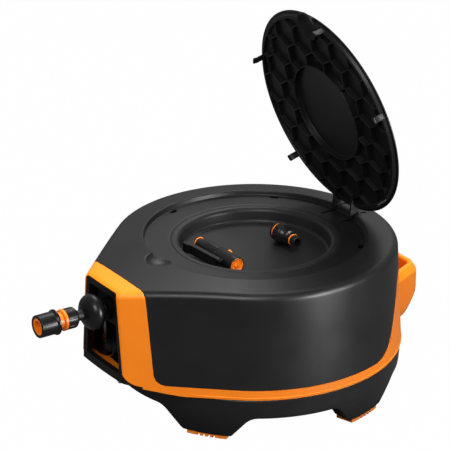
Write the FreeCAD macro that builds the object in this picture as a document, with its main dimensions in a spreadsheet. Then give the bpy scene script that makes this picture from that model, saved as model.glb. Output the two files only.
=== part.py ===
import FreeCAD, Part
import Sketcher
import math
import os
from FreeCAD import Placement, Rotation, Vector

# Spring-rewind garden hose reel that stands on a five-footed swivel base.
# Millimetres. The floor is z = 0, the swivel axis is x = y = 0, the hose leaves towards -Y
# and the carry handle is at the rear, towards +Y.

SIZES = {
    # body form
    "body_low_z": 65.5,
    "body_high_z": 210.0,
    "body_low_radius": 201.0,
    "body_draft": 8.0,
    "nose_low_half": 57.0,
    "nose_high_half": 43.5,
    "nose_reach": 43.0,
    "nose_corner": 8.0,
    "top_edge_z": 217.0,
    "top_fall": 0.135,
    "under_step": 11.0,
    "under_rise": 0.32,
    "shell_wall": 3.0,
    "shoulder_round": 7.0,
    # colour split between the black top shell and the orange band
    "stripe_top_z": 79.0,
    "seam_front_top": 24.0,
    "seam_front_foot": 32.0,
    "seam_front_round": 13.0,
    "seam_rear_low_y": 96.0,
    "seam_rear_high_y": 139.0,
    "seam_rear_high_z": 172.0,
    "seam_rear_round": 45.0,
    "seam_gap": 0.4,
    # lid recess, storage tray and finger scoop
    "recess_margin": 42.0,
    "recess_draft": 1.4,
    "shelf_z": 211.5,
    "shelf_width": 45.0,
    "tray_floor_z": 189.5,
    "tray_taper": 4.5,
    "tray_wall": 2.5,
    "tray_lip": 2.2,
    "tray_lip_rise": 0.7,
    "scoop_step": 2.0,
    "scoop_radius": 18.5,
    "scoop_depth": 8.0,
    # base
    "base_top_z": 64.0,
    "base_inset": 1.0,
    "base_mid_z": 36.5,
    "base_mid_inset": 2.0,
    "base_foot_inset": 10.0,
    "base_wall": 4.0,
    "base_plate_z": 44.0,
    "base_plate": 4.0,
    "foot_depth": 28.0,
    "foot_half_width": 29.5,
    "foot_flare": 24.0,
    "arch_round": 20.0,
    "foot_turn": 18.0,
    "pad_height": 5.0,
    "pad_web": 2.4,
    "pad_margin": 1.5,
    "pad_rib": 4.0,
    "pad_gap": 3.2,
    # swivel
    "spigot_radius": 26.0,
    "spigot_bore": 19.0,
    "swivel_fit": 0.06,
    "hub_wall": 6.0,
    "track_outer": 117.0,
    "track_width": 18.0,
    "slide_ring_height": 4.0,
    "retainer_radius": 36.0,
    "retainer_height": 4.0,
    "running_gap": 0.4,
    "seat_gap": 0.3,
    # lower pan
    "pan_floor": 3.0,
    "pan_wall": 2.5,
    "pan_wall_top_z": 92.0,
    "pan_front_gap": 30.0,
    "pan_ledge": 8.0,
    # front portal and bezel
    "portal_high_z": 202.0,
    "portal_low_z": 70.0,
    "portal_high_half": 37.5,
    "portal_low_half": 52.0,
    "portal_high_corner": 5.0,
    "portal_low_corner": 2.0,
    "nose_foot_round": 20.0,
    "mouth_high_z": 193.5,
    "mouth_low_z": 88.0,
    "mouth_high_half": 31.0,
    "mouth_low_half": 41.0,
    "mouth_corner": 5.0,
    "bezel_depth": 7.0,
    "bezel_inset": 1.2,
    "bezel_flange": 4.0,
    # carry handle
    "handle_high_z": 141.0,
    "handle_low_z": 99.0,
    "handle_root_half": 98.0,
    "handle_root_inset": 33.0,
    "handle_bar_half": 70.0,
    "handle_out": 25.0,
    "handle_bar": 12.0,
    "handle_arm": 14.0,
    "handle_corner": 16.0,
    "handle_skirt": 27.0,
    "handle_skirt_back": 32.0,
    "handle_round": 5.0,
    "handle_peg": 5.0,
    "handle_peg_x": 80.0,
    "handle_peg_length": 24.0,
    "pocket_half": 60.0,
    "pocket_depth": 20.0,
    "pocket_low_z": 84.0,
    "pocket_high_z": 150.0,
    # lid
    "lid_gap": 1.0,
    "lid_edge_z": 217.4,
    "lid_crown": 4.2,
    "lid_skin": 2.2,
    "lid_rib_depth": 4.2,
    "lid_rib": 1.6,
    "lid_cell": 41.0,
    "lid_flange": 4.5,
    "lid_bead": 4.0,
    "lid_ring_radius": 69.0,
    "lid_ring_sink": 2.4,
    "lid_lobe_radius": 17.0,
    "lobe_inset": 15.5,
    "lid_dish_depth": 4.0,
    "lid_open_angle": 75.42,
    "hinge_step": 5.06,
    "hinge_z": 215.2,
    "hinge_pin_radius": 1.8,
    "hinge_fit": 0.06,
    "ear_half_span": 20.0,
    "ear_width": 3.2,
    "ear_radius": 14.0,
    "ear_boss": 3.6,
    "ear_length": 30.0,
    "knuckle_width": 4.5,
    "slot_gap": 0.8,
    "tab_width": 9.0,
    "tab_thick": 2.4,
    "tab_drop": 12.0,
    # drum, hose and axle
    "hose_radius": 7.1,
    "hose_bore": 4.8,
    "hose_pitch": 14.9,
    "winding_margin": 48.1,
    "winding_turns": 3.5,
    "exit_z": 166.0,
    "drum_hub_radius": 75.0,
    "drum_hub_wall": 4.0,
    "flange_rim": 15.1,
    "drum_flange": 4.0,
    "drum_low_z": 102.0,
    "drum_high_z": 180.0,
    "drum_window": 15.0,
    "core_gap": 7.9,
    "axle_radius": 12.0,
    "axle_bore": 6.0,
    "axle_top_z": 185.8,
    "axle_foot_radius": 22.0,
    "axle_foot_top_z": 85.0,
    "axle_neck": 16.0,
    "bush_wall": 4.0,
    "bush_length": 8.0,
    "shaft_fit": 0.05,
    "press_gap": 0.02,
    "screw_radius": 2.0,
    "screw_head_radius": 4.0,
    "screw_head": 2.6,
    "post_gap": 1.5,
    # spring and water swivel
    "spring_inner": 20.0,
    "spring_hook": 6.98,
    "spring_half_turns": 20,
    "spring_strip": 1.0,
    "spring_low_z": 110.0,
    "spring_height": 44.0,
    "spring_cover_z": 157.0,
    "spring_cover": 3.0,
    "collar_low_z": 163.0,
    "collar_height": 14.0,
    "collar_wall": 8.0,
    "collar_stub": 6.0,
    "seal_wire": 1.2,
    # ratchet, pawl and level wind
    "ratchet_bore": 30.0,
    "ratchet_root": 62.0,
    "ratchet_tip": 67.0,
    "ratchet_teeth": 24,
    "ratchet_height": 6.5,
    "pawl_pivot_radius": 84.0,
    "pawl_turn": 60.0,
    "pawl_length": 40.0,
    "pawl_boss": 7.0,
    "pawl_lean": 28.0,
    "pawl_pin_radius": 3.0,
    "pawl_height": 5.0,
    "gear_fill": 0.0127636,
    "gear_height": 8.0,
    "gear_step": 1.0,
    "gear_backlash": 0.35,
    "drum_teeth": 36,
    "idler_teeth": 52,
    "screw_teeth": 18,
    "idler_pin_radius": 5.0,
    "screw_x": 27.0,
    "screw_back": 50.0,
    "lead_screw_radius": 7.0,
    "lead_screw_end": 4.0,
    "rod_x": 56.0,
    "rod_back": 39.0,
    "rod_radius": 4.0,
    "rod_low_z": 72.0,
    "rod_high_z": 200.0,
    "rod_boss": 8.0,
    "rod_boss_low": 12.0,
    "rod_boss_high": 10.0,
    "carriage_half": 27.0,
    "carriage_front_gap": 11.0,
    "carriage_back_gap": 32.0,
    "carriage_height": 40.0,
    "bridge_half": 63.0,
    "bridge_back_gap": 46.0,
    "bridge_height": 22.0,
    "eye_radius": 8.6,
    "mouth_ring_radius": 15.0,
    "mouth_ring_gap": 4.0,
    "nut_radius": 12.0,
    "roller_radius": 5.0,
    "roller_half": 20.0,
    "roller_back": 18.0,
    "roller_pin_radius": 2.0,
    # hose end
    "bend_radius": 58.0,
    "bend_back": 54.0,
    "ball_out": 14.0,
    "ball_radius": 24.3,
    "ball_half_length": 15.5,
    "ball_grip": 0.1,
    "hose_end_step": 9.5,
    "hose_lead_gap": 2.4,
    "connector_out": 34.5,
    "clamp_nut_length": 18.5,
    "clamp_nut_radius": 14.2,
    "clamp_nut_lip": 11.0,
    "clamp_ribs": 16,
    "ring_length": 6.2,
    "ring_radius": 14.6,
    "ring_core": 12.0,
    "flare_length": 6.0,
    "flare_radius": 17.0,
    "body_length": 36.3,
    "body_radius": 11.5,
    "socket_radius": 8.0,
    "socket_depth": 22.0,
    "sleeve_length": 32.9,
    "sleeve_radius": 15.3,
    "sleeve_fit": 0.3,
    "sleeve_travel": 4.0,
    # water inlet
    "inlet_turn": 140.0,
    "inlet_z": 78.0,
    "inlet_flange_radius": 11.0,
    "inlet_flange": 3.0,
    "inlet_nipple_radius": 8.0,
    "inlet_nipple_length": 24.0,
    "inlet_groove": 1.6,
    "inlet_pipe_radius": 5.5,
    "inlet_pipe_bore": 3.5,
    # spray nozzle and tap connector kept in the tray
    "nozzle_margin": 40.5,
    "nozzle_radius": 11.4,
    "nozzle_tail_x": -30.0,
    "nozzle_tip_x": 48.0,
    "nozzle_tail_radius": 7.4,
    "nozzle_tail_length": 17.0,
    "nozzle_face_radius": 10.4,
    "nozzle_face_depth": 4.0,
    "lever_x": 30.0,
    "lever_length": 76.0,
    "lever_thick": 6.0,
    "lever_height": 13.0,
    "lever_gap": 1.6,
    "lever_rise": 4.0,
    "knob_x": 8.0,
    "knob_radius": 4.5,
    "knob_length": 5.0,
    "loose_gap": 0.3,
    "tap_margin": 54.5,
    "tap_x": -20.0,
    "tap_wide_radius": 14.0,
    "tap_wide_length": 17.0,
    "tap_taper": 8.0,
    "tap_nipple_radius": 7.6,
    "tap_nipple_length": 24.0,
    "tap_thread_radius": 10.4,
    "tap_thread_depth": 13.0,
    "tap_ring_width": 3.4,
}

FEET = 5
BOSS_TURNS = [10, 45, 68, 112, 130, 170, 205, 335]
TAB_TURNS = [-13, -78, -167, 135, 45]
SCREW_TURNS = [45, 135, 225, 315]
FLANGE_SCREW_COUNT = 6
WINDOW_COUNT = 8

doc = FreeCAD.newDocument("hose_reel")
sheet = doc.addObject("Spreadsheet::Sheet", "Sizes")
for row, (alias, amount) in enumerate(SIZES.items(), start=1):
    sheet.set(f"A{row}", alias)
    sheet.set(f"B{row}", str(amount))
    sheet.setAlias(f"B{row}", alias)
doc.recompute()


def num(alias):
    """Value of one size."""
    return D(alias).value


class Dim:
    """A length with its value and the sheet expression that gives it."""

    def __init__(self, value, text):
        self.value = value
        self.text = text

    def __add__(self, other):
        return joined(self, "+", other)

    def __radd__(self, other):
        return joined(other, "+", self)

    def __sub__(self, other):
        return joined(self, "-", other)

    def __rsub__(self, other):
        return joined(other, "-", self)

    def __mul__(self, other):
        return joined(self, "*", other)

    def __rmul__(self, other):
        return joined(other, "*", self)

    def __truediv__(self, other):
        return joined(self, "/", other)

    def __neg__(self):
        return joined(0.0, "-", self)


def as_dim(amount):
    return amount if isinstance(amount, Dim) else Dim(float(amount), repr(float(amount)))


def joined(left, sign, right):
    """Sum, difference, product or quotient of two lengths, kept as an expression."""
    left, right = as_dim(left), as_dim(right)
    results = {
        "+": lambda a, b: a + b,
        "-": lambda a, b: a - b,
        "*": lambda a, b: a * b,
        "/": lambda a, b: a / b,
    }
    return Dim(results[sign](left.value, right.value), f"({left.text} {sign} {right.text})")


def D(alias):
    """One size: a cell of the sheet, or one that follows from other cells."""
    if alias in FOLLOWS:
        return FOLLOWS[alias]()
    return Dim(float(sheet.get(alias)), f"Sizes.{alias}")


# Sizes that follow from others, such as the body radius or the recess, by a named offset.
FOLLOWS = {
    "body_high_radius": lambda: D("body_low_radius") - D("body_draft"),
    "nose_front": lambda: D("body_low_radius") + D("nose_reach"),
    "under_radius": lambda: D("body_low_radius") + D("under_step"),
    "seam_front_high_y": lambda: D("nose_front") - D("seam_front_top"),
    "seam_front_low_y": lambda: D("nose_front") - D("seam_front_foot"),
    "recess_radius": lambda: D("body_high_radius") - D("recess_margin"),
    "tray_hole_radius": lambda: D("recess_radius") - D("shelf_width"),
    "tray_floor_radius": lambda: D("tray_hole_radius") - D("tray_taper"),
    "scoop_y": lambda: D("recess_radius") + D("scoop_step"),
    "base_top_radius": lambda: D("body_low_radius") - D("base_inset"),
    "base_mid_radius": lambda: D("base_top_radius") - D("base_mid_inset"),
    "base_foot_radius": lambda: D("base_top_radius") - D("base_foot_inset"),
    "track_inner": lambda: D("track_outer") - D("track_width"),
    "spring_room": lambda: D("drum_hub_radius") - D("drum_hub_wall") - D("press_gap"),
    "spring_reach": lambda: D("spring_room") - D("spring_hook") - D("spring_inner"),
    "spring_step": lambda: D("spring_reach") * 2 / D("spring_half_turns"),
    "pan_front_y": lambda: D("nose_front") - D("pan_front_gap"),
    "handle_root_y": lambda: D("body_low_radius") - D("handle_root_inset"),
    "handle_reach": lambda: D("body_low_radius") + D("handle_out"),
    "pocket_y": lambda: D("body_low_radius") - D("pocket_depth"),
    "lid_lobe_y": lambda: D("recess_radius") - D("lobe_inset"),
    "hinge_y": lambda: D("recess_radius") + D("hinge_step"),
    "ear_root_y": lambda: D("hinge_y") - D("ear_length"),
    "winding_radius": lambda: D("body_low_radius") - D("winding_margin"),
    "drum_flange_radius": lambda: D("winding_radius") + D("flange_rim"),
    "core_outer": lambda: D("winding_radius") - D("core_gap"),
    "screw_y": lambda: D("nose_front") - D("screw_back"),
    "rod_y": lambda: D("nose_front") - D("rod_back"),
    "carriage_front": lambda: D("nose_front") - D("carriage_front_gap"),
    "carriage_back": lambda: D("nose_front") - D("carriage_back_gap"),
    "bridge_back": lambda: D("nose_front") - D("bridge_back_gap"),
    "mouth_ring_front": lambda: D("nose_front") - D("mouth_ring_gap"),
    "roller_y": lambda: D("nose_front") - D("roller_back"),
    "bend_corner_y": lambda: D("nose_front") - D("bend_back"),
    "ball_y": lambda: D("nose_front") + D("ball_out"),
    "connector_y": lambda: D("nose_front") + D("connector_out"),
    "hose_end_y": lambda: D("connector_y") + D("hose_end_step"),
    "hose_lead_y": lambda: D("nose_front") - D("hose_lead_gap"),
    "nozzle_y": lambda: D("nozzle_margin") - D("tray_floor_radius"),
    "tap_y": lambda: D("tray_floor_radius") - D("tap_margin"),
}


def bind(target, prop, amount):
    """Set a property from a length and keep it bound to the sheet."""
    amount = as_dim(amount)
    target.setExpression(prop, amount.text)


TO_FRONT = Rotation(Vector(1, 0, 0), 90)     # local +Z turns to -Y
TO_RIGHT = Rotation(Vector(0, 1, 0), 90)     # local +Z turns to +X
UPRIGHT = Rotation()
parts = {}


def place(target, x=0, y=0, z=0, turn=UPRIGHT):
    """Turn an object and move its origin to a point bound to the sheet."""
    spots = [as_dim(x), as_dim(y), as_dim(z)]
    target.Placement = Placement(Vector(*[spot.value for spot in spots]), turn)
    for letter, spot in zip("xyz", spots):
        bind(target, f"Placement.Base.{letter}", spot)
    return target


def keep(label, target):
    """Give a finished sub-part its label and list it for writing."""
    target.Label = label
    parts[label] = target
    return target


def keep_shape(label, shape):
    """A sub-part whose shape is worked out here from the sheet's sizes."""
    feature = doc.addObject("Part::Feature", label)
    feature.Shape = shape
    return keep(label, feature)


def sketch_on(body, role, corners, name):
    """Closed outline of straight runs on one of the body's own planes, bound corner by corner."""
    sketch = body.newObject("Sketcher::SketchObject", name)
    plane = [item for item in body.Origin.OriginFeatures if item.Role == role][0]
    sketch.AttachmentSupport = [(plane, "")]
    sketch.MapMode = "FlatFace"
    corners = [(as_dim(x), as_dim(y)) for x, y in corners]
    spots = [Vector(x.value, y.value, 0) for x, y in corners]
    for index, spot in enumerate(spots):
        sketch.addGeometry(Part.LineSegment(spot, spots[(index + 1) % len(spots)]))
    for index in range(len(spots)):
        after = (index + 1) % len(spots)
        sketch.addConstraint(Sketcher.Constraint("Coincident", index, 2, after, 1))
    for index, (x, y) in enumerate(corners):
        for kind, amount, axis in (("DistanceX", x, -2), ("DistanceY", y, -1)):
            if amount.value == 0 and amount.text == "0.0":
                sketch.addConstraint(Sketcher.Constraint("PointOnObject", index, 1, axis))
                continue
            number = sketch.addConstraint(
                Sketcher.Constraint(kind, -1, 1, index, 1, amount.value)
            )
            sketch.setExpression(f"Constraints[{number}]", amount.text)
    return sketch


def turned_body(label, corners):
    """Body turned from a half outline of (radius, height) corners about its own Z axis."""
    body = doc.addObject("PartDesign::Body", label)
    sketch = sketch_on(body, "XZ_Plane", corners, f"{label}_outline")
    turning = body.newObject("PartDesign::Revolution", f"{label}_turned")
    turning.Profile = sketch
    turning.ReferenceAxis = (sketch, ["V_Axis"])
    turning.Angle = 360
    doc.recompute()
    return body


def padded_body(label, corners, height):
    """Body raised from an outline of (x, y) corners by a height along its own Z axis."""
    body = doc.addObject("PartDesign::Body", label)
    sketch = sketch_on(body, "XY_Plane", corners, f"{label}_outline")
    pad = body.newObject("PartDesign::Pad", f"{label}_raised")
    pad.Profile = sketch
    bind(pad, "Length", height)
    doc.recompute()
    return body


def tube_corners(inner, outer, low, high):
    return [(inner, low), (outer, low), (outer, high), (inner, high)]


def cylinder(name, radius, height, x=0, y=0, z=0, turn=UPRIGHT):
    shape = doc.addObject("Part::Cylinder", name)
    bind(shape, "Radius", radius)
    bind(shape, "Height", height)
    return place(shape, x, y, z, turn)


def box(name, low, high):
    """Box between two corners, each bound to the sheet."""
    shape = doc.addObject("Part::Box", name)
    low = [as_dim(spot) for spot in low]
    high = [as_dim(spot) for spot in high]
    for prop, start, end in zip(("Length", "Width", "Height"), low, high):
        bind(shape, prop, end - start)
    return place(shape, *low)


def fused(name, *shapes):
    join = doc.addObject("Part::MultiFuse", name)
    join.Shapes = list(shapes)
    join.Refine = True
    return join


def cut(name, base, *tools):
    """Base with every tool taken away."""
    for number, tool in enumerate(tools):
        step = doc.addObject("Part::Cut", f"{name}_{number}")
        step.Base = base
        step.Tool = tool
        step.Refine = True
        base = step
    return base


def polar(radius, degrees, z=0.0):
    angle = math.radians(degrees)
    return Vector(radius * math.cos(angle), radius * math.sin(angle), z)


def turned(corners):
    """Solid turned about Z from (radius, height) corners."""
    points = [Vector(r, 0, z) for r, z in corners]
    face = Part.Face(Part.makePolygon(points + points[:1]))
    return face.revolve(Vector(), Vector(0, 0, 1), 360)


def drilled(shape, radius, start, end):
    """Shape with a round hole from one point to another."""
    way = end - start
    return shape.cut(Part.makeCylinder(radius, way.Length, start, way))


def block(x0, x1, y0, y1, z0, z1):
    return Part.makeBox(x1 - x0, y1 - y0, z1 - z0, Vector(x0, y0, z0))


def rounded_outline(corners):
    """Wire through (point, radius) corners, each corner rounded by its own arc."""
    edges = []
    count = len(corners)
    ends = []
    for index, (spot, radius) in enumerate(corners):
        before = corners[index - 1][0]
        after = corners[(index + 1) % count][0]
        back = (before - spot).normalize()
        on = (after - spot).normalize()
        if radius <= 0:
            ends.append((spot, None, spot))
            continue
        half = back.getAngle(on) / 2
        reach = radius / math.tan(half)
        middle_way = (back + on).normalize()
        middle = spot + middle_way * (radius / math.sin(half) - radius)
        ends.append((spot + back * reach, middle, spot + on * reach))
    for index, (start, middle, end) in enumerate(ends):
        if middle is not None:
            edges.append(Part.Arc(start, middle, end).toShape())
        following = ends[(index + 1) % count][0]
        edges.append(Part.LineSegment(end, following).toShape())
    return Part.Wire(edges)


# Body form: a drafted circle drawn out to a blunt nose, under a gently falling top.


def body_wire(z, inset):
    """Plan outline of the body at a height: the hull of one circle and two nose corners."""
    share = (z - num("body_low_z")) / (num("body_high_z") - num("body_low_z"))
    low, high = num("body_low_radius"), num("body_high_radius")
    radius = low + (high - low) * share - inset
    low, high = num("nose_low_half"), num("nose_high_half")
    half = low + (high - low) * share - inset
    front = num("nose_front") - inset
    corner = num("nose_corner")
    centre = Vector(half - corner, corner - front, 0)
    turn = math.atan2(centre.y, centre.x) + math.acos((radius - corner) / centre.Length)
    out = Vector(math.cos(turn), math.sin(turn), 0)
    on_circle = out * radius
    on_corner = centre + out * corner
    front_end = Vector(centre.x, -front, 0)
    corner_middle = centre + (out + Vector(0, -1, 0)).normalize() * corner
    rear = Vector(0, radius, 0)
    side_middle = polar(radius, (math.degrees(turn) + 90) / 2)

    def mirrored(spot):
        return Vector(-spot.x, spot.y, 0)

    edges = [
        Part.Arc(on_circle, side_middle, rear),
        Part.Arc(rear, mirrored(side_middle), mirrored(on_circle)),
        Part.LineSegment(mirrored(on_circle), mirrored(on_corner)),
        Part.Arc(mirrored(on_corner), mirrored(corner_middle), mirrored(front_end)),
        Part.LineSegment(mirrored(front_end), front_end),
        Part.Arc(front_end, corner_middle, on_corner),
        Part.LineSegment(on_corner, on_circle),
    ]
    wire = Part.Wire([edge.toShape() for edge in edges])
    wire.translate(Vector(0, 0, z))
    return wire


def top_z(radius, inset=0.0):
    """Height of the falling top at a distance from the swivel axis."""
    return num("top_edge_z") - (radius - num("recess_radius")) * num("top_fall") - inset


REACH = 2 * num("nose_front")
LOW = num("body_low_z") - 10
HIGH = num("top_edge_z") + 12


def height_limits(inset):
    """Space between the body's underside, which rises under the nose, and its falling top."""
    under = num("under_radius")
    rise = num("under_rise")
    floor = num("body_low_z") + inset
    return turned([
        (0, floor),
        (under, floor),
        (REACH, floor + (REACH - under) * rise),
        (REACH, top_z(REACH, inset)),
        (0, top_z(0, inset)),
    ])


def body_solid(inset, rounding):
    """The whole body form, drawn in by an inset, with its top edge rounded."""
    walls = Part.makeLoft([body_wire(LOW, inset), body_wire(HIGH, inset)], True, True)
    solid = walls.common(height_limits(inset))
    rim = []
    for edge in solid.Edges:
        spots = [edge.valueAt(edge.FirstParameter + part * (edge.LastParameter - edge.FirstParameter))
                 for part in (0.1, 0.5, 0.9)]
        if all(abs(p.z - top_z(math.hypot(p.x, p.y), inset)) < 0.2 for p in spots):
            rim.append(edge)
    return solid.makeFillet(rounding, rim)


def seam_prism(offset):
    """Everything that is black, seen from the side, drawn in by an offset."""
    fall = num("seam_front_high_y") - num("seam_front_low_y")
    rise = num("top_edge_z") - num("stripe_top_z")
    low = num("stripe_top_z") + offset
    front_low = -num("seam_front_low_y") + offset
    front_high = front_low - fall * (HIGH - low) / rise
    back_high = num("seam_rear_high_z") + offset
    back_low_y = num("seam_rear_low_y") - offset
    back_high_y = num("seam_rear_high_y") - offset
    corners = [
        (Vector(-REACH, front_high, HIGH), 0),
        (Vector(-REACH, front_low, low), num("seam_front_round")),
        (Vector(-REACH, back_low_y, low), num("seam_rear_round")),
        (Vector(-REACH, back_high_y, back_high), num("seam_front_round")),
        (Vector(-REACH, REACH, back_high), 0),
        (Vector(-REACH, REACH, HIGH), 0),
    ]
    return Part.Face(rounded_outline(corners)).extrude(Vector(2 * REACH, 0, 0))


def portal_outline(y, grow=0.0):
    """Front view of the hose portal: narrow at the top, wide and round at the bottom."""
    high, low = num("portal_high_z") + grow, num("portal_low_z") - grow
    half_high, half_low = num("portal_high_half") + grow, num("portal_low_half") + grow
    corners = [
        (Vector(-half_high, y, high), num("portal_high_corner")),
        (Vector(half_high, y, high), num("portal_high_corner")),
        (Vector(half_low, y, low), num("portal_low_corner")),
        (Vector(-half_low, y, low), num("portal_low_corner")),
    ]
    return Part.Face(rounded_outline(corners))


def nose_foot(gap):
    """Lower front corner of the nose, rounded in side view, that the bezel fills."""
    radius = num("nose_foot_round")
    back = radius - num("nose_front")
    high = num("body_low_z") + radius + (num("nose_front") - num("under_radius")) * num("under_rise")
    corner = block(-REACH, REACH, -REACH, back, LOW, high)
    middle = Vector(-REACH, back, high)
    return corner.cut(Part.makeCylinder(radius + gap, 2 * REACH, middle, Vector(1, 0, 0)))


def mouth_outline(y):
    """Front view of the hose mouth inside the bezel."""
    corners = [
        (Vector(-num("mouth_high_half"), y, num("mouth_high_z")), num("mouth_corner")),
        (Vector(num("mouth_high_half"), y, num("mouth_high_z")), num("mouth_corner")),
        (Vector(num("mouth_low_half"), y, num("mouth_low_z")), num("mouth_corner")),
        (Vector(-num("mouth_low_half"), y, num("mouth_low_z")), num("mouth_corner")),
    ]
    return Part.Face(rounded_outline(corners))


def boss_spot(turn):
    """Place of one housing screw, just inside the body wall."""
    inside = num("body_high_radius") - num("shell_wall") - num("screw_head_radius")
    return polar(inside - num("pan_wall") - num("seam_gap") - num("post_gap"), turn)


WALL = num("shell_wall")
ROUND = num("shoulder_round")
outer_body = body_solid(0.0, ROUND)
inner_body = body_solid(WALL, ROUND - WALL)
hinge_axis = Vector(0, num("hinge_y"), num("hinge_z"))


def under_shelf():
    """Solid ring that carries the lid recess inside the top shell."""
    low = num("shelf_z") - WALL
    outer = num("recess_radius") + WALL
    return turned([
        (num("tray_hole_radius"), low),
        (outer, low),
        (outer, top_z(outer) - WALL / 2),
        (num("tray_hole_radius"), top_z(num("tray_hole_radius"))),
    ])


def scoop_ball(grow):
    """Ball whose lower cap is the finger scoop in the recess edge."""
    width, depth = num("scoop_radius"), num("scoop_depth")
    radius = (width * width + depth * depth) / (2 * depth)
    middle = Vector(0, -num("scoop_y"), num("top_edge_z") - depth + radius)
    return Part.makeSphere(radius + grow, middle)


def make_top_shell():
    recess = num("recess_radius")
    shelf = num("shelf_z")
    shell = outer_body.cut(inner_body)
    shell = shell.fuse(under_shelf())
    hollow_scoop = scoop_ball(WALL).common(outer_body)
    shell = shell.fuse(hollow_scoop.common(inner_body))
    shell = shell.common(seam_prism(num("seam_gap") / 2))
    shell = shell.cut(turned([
        (0, shelf), (recess - num("recess_draft"), shelf), (recess, top_z(recess)),
        (recess, HIGH), (0, HIGH),
    ]))
    shell = shell.cut(scoop_ball(0))
    shell = shell.cut(Part.makeCylinder(num("tray_hole_radius"), HIGH, Vector(0, 0, LOW)))
    # screw posts that hang from the top and meet the pan floor
    low = num("body_low_z") + num("pan_floor")
    posts = []
    for turn in BOSS_TURNS:
        post = Part.makeCylinder(num("screw_head_radius"), HIGH - low, boss_spot(turn) + Vector(0, 0, low))
        posts.append(post.common(inner_body))
    shell = shell.multiFuse(posts)
    for turn in BOSS_TURNS:
        start = boss_spot(turn) + Vector(0, 0, low)
        depth = num("screw_head_radius") * 4
        shell = drilled(shell, num("screw_radius") + num("press_gap"), start, start + Vector(0, 0, depth))
    # hanging bosses that hold the top ends of the guide rods and the lead screw
    for spot, radius in guide_ends():
        foot = spot + Vector(0, 0, num("rod_high_z") - num("rod_boss_high"))
        boss = Part.makeCylinder(num("rod_boss"), HIGH - foot.z, foot)
        shell = shell.fuse(boss.common(inner_body))
        shell = drilled(shell, radius, foot, spot + Vector(0, 0, num("rod_high_z") + num("running_gap")))
    # knuckles for the hinge pin, then slots for the lid's two ears and its snap tabs
    span, width = num("ear_half_span"), num("ear_width") / 2 + num("slot_gap")
    boss = num("ear_boss")
    for side in (-1, 1):
        start = side * (span + width)
        end = side * (span + width + num("knuckle_width"))
        x0, x1 = min(start, end), max(start, end)
        knuckle = Part.makeCylinder(boss, x1 - x0, hinge_axis + Vector(x0, 0, 0), Vector(1, 0, 0))
        foot_z = top_z(num("hinge_y") + boss) - WALL
        foot = block(x0, x1, num("hinge_y") - boss, num("hinge_y") + boss, foot_z, num("hinge_z"))
        shell = shell.fuse(knuckle.fuse(foot))
        x0, x1 = side * span - width, side * span + width
        front = num("ear_root_y") - num("slot_gap")
        back = num("hinge_y") + num("ear_radius") + 2 * num("slot_gap")
        shell = shell.cut(block(x0, x1, front, back, num("hinge_z") - 2 * num("ear_radius"), HIGH))
    reach = span + width + num("knuckle_width") + 1
    shell = drilled(shell, num("hinge_pin_radius") + num("press_gap"),
                    hinge_axis - Vector(reach, 0, 0), hinge_axis + Vector(reach, 0, 0))
    for turn in TAB_TURNS:
        shell = shell.cut(tab_block(turn, 2 * num("slot_gap"), HIGH))
    return shell.removeSplitter()


def guide_ends():
    """Plan spots and bore radii of the two guide rods and the lead screw."""
    fixed = num("rod_radius") + num("press_gap")
    running = num("lead_screw_end") + num("shaft_fit")
    rods = [(Vector(side * num("rod_x"), -num("rod_y"), 0), fixed) for side in (-1, 1)]
    return rods + [(screw_spot(), running)]


def tab_block(turn, grow, high):
    """One snap tab of the lid, or its slot in the shelf, at a plan angle."""
    outer = lid_radius() - num("lid_flange") + num("tab_thick") / 2 + grow
    inner = outer - num("tab_thick") - 2 * grow
    half = num("tab_width") / 2 + grow
    low = num("lid_edge_z") - num("lid_rib_depth") - num("tab_drop") - grow
    tab = block(inner, outer, -half, half, low, high)
    tab.rotate(Vector(), Vector(0, 0, 1), turn)
    return tab


def lid_radius():
    return num("recess_radius") - num("lid_gap")


def make_side_band():
    shell = outer_body.cut(inner_body).cut(seam_prism(-num("seam_gap") / 2))
    pan_area = block(-REACH, REACH, -num("pan_front_y") - num("seam_gap"), REACH, LOW, num("stripe_top_z"))
    shell = shell.cut(pan_area.common(inner_area(WALL + num("pan_ledge"))))
    # finger pocket behind the grip bar
    pocket = block(-num("pocket_half"), num("pocket_half"), num("pocket_y"), REACH,
                   num("pocket_low_z"), num("pocket_high_z"))
    liner = block(-num("pocket_half") - WALL, num("pocket_half") + WALL, num("pocket_y") - WALL, REACH,
                  num("pocket_low_z") - WALL, num("pocket_high_z") + WALL)
    shell = shell.fuse(liner.common(outer_body)).cut(pocket)
    for side in (-1, 1):
        start, end = handle_peg_ends(side)
        shell = drilled(shell, num("handle_peg") + num("press_gap"), start, end)
    # portal opening in the nose
    depth = 2 * num("nose_corner") + WALL
    shell = shell.cut(portal_outline(-num("nose_front") - 1).extrude(Vector(0, depth, 0)))
    shell = shell.cut(nose_foot(0))
    inlet = polar(REACH, num("inlet_turn"), num("inlet_z"))
    hole = num("inlet_nipple_radius") + num("seat_gap")
    shell = drilled(shell, hole, Vector(0, 0, num("inlet_z")), inlet)
    return shell.removeSplitter()


def inner_area(inset):
    """Everything inside the body's wall, seen from above, drawn in by an inset."""
    return Part.makeLoft([body_wire(LOW, inset), body_wire(HIGH, inset)], True, True)


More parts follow.
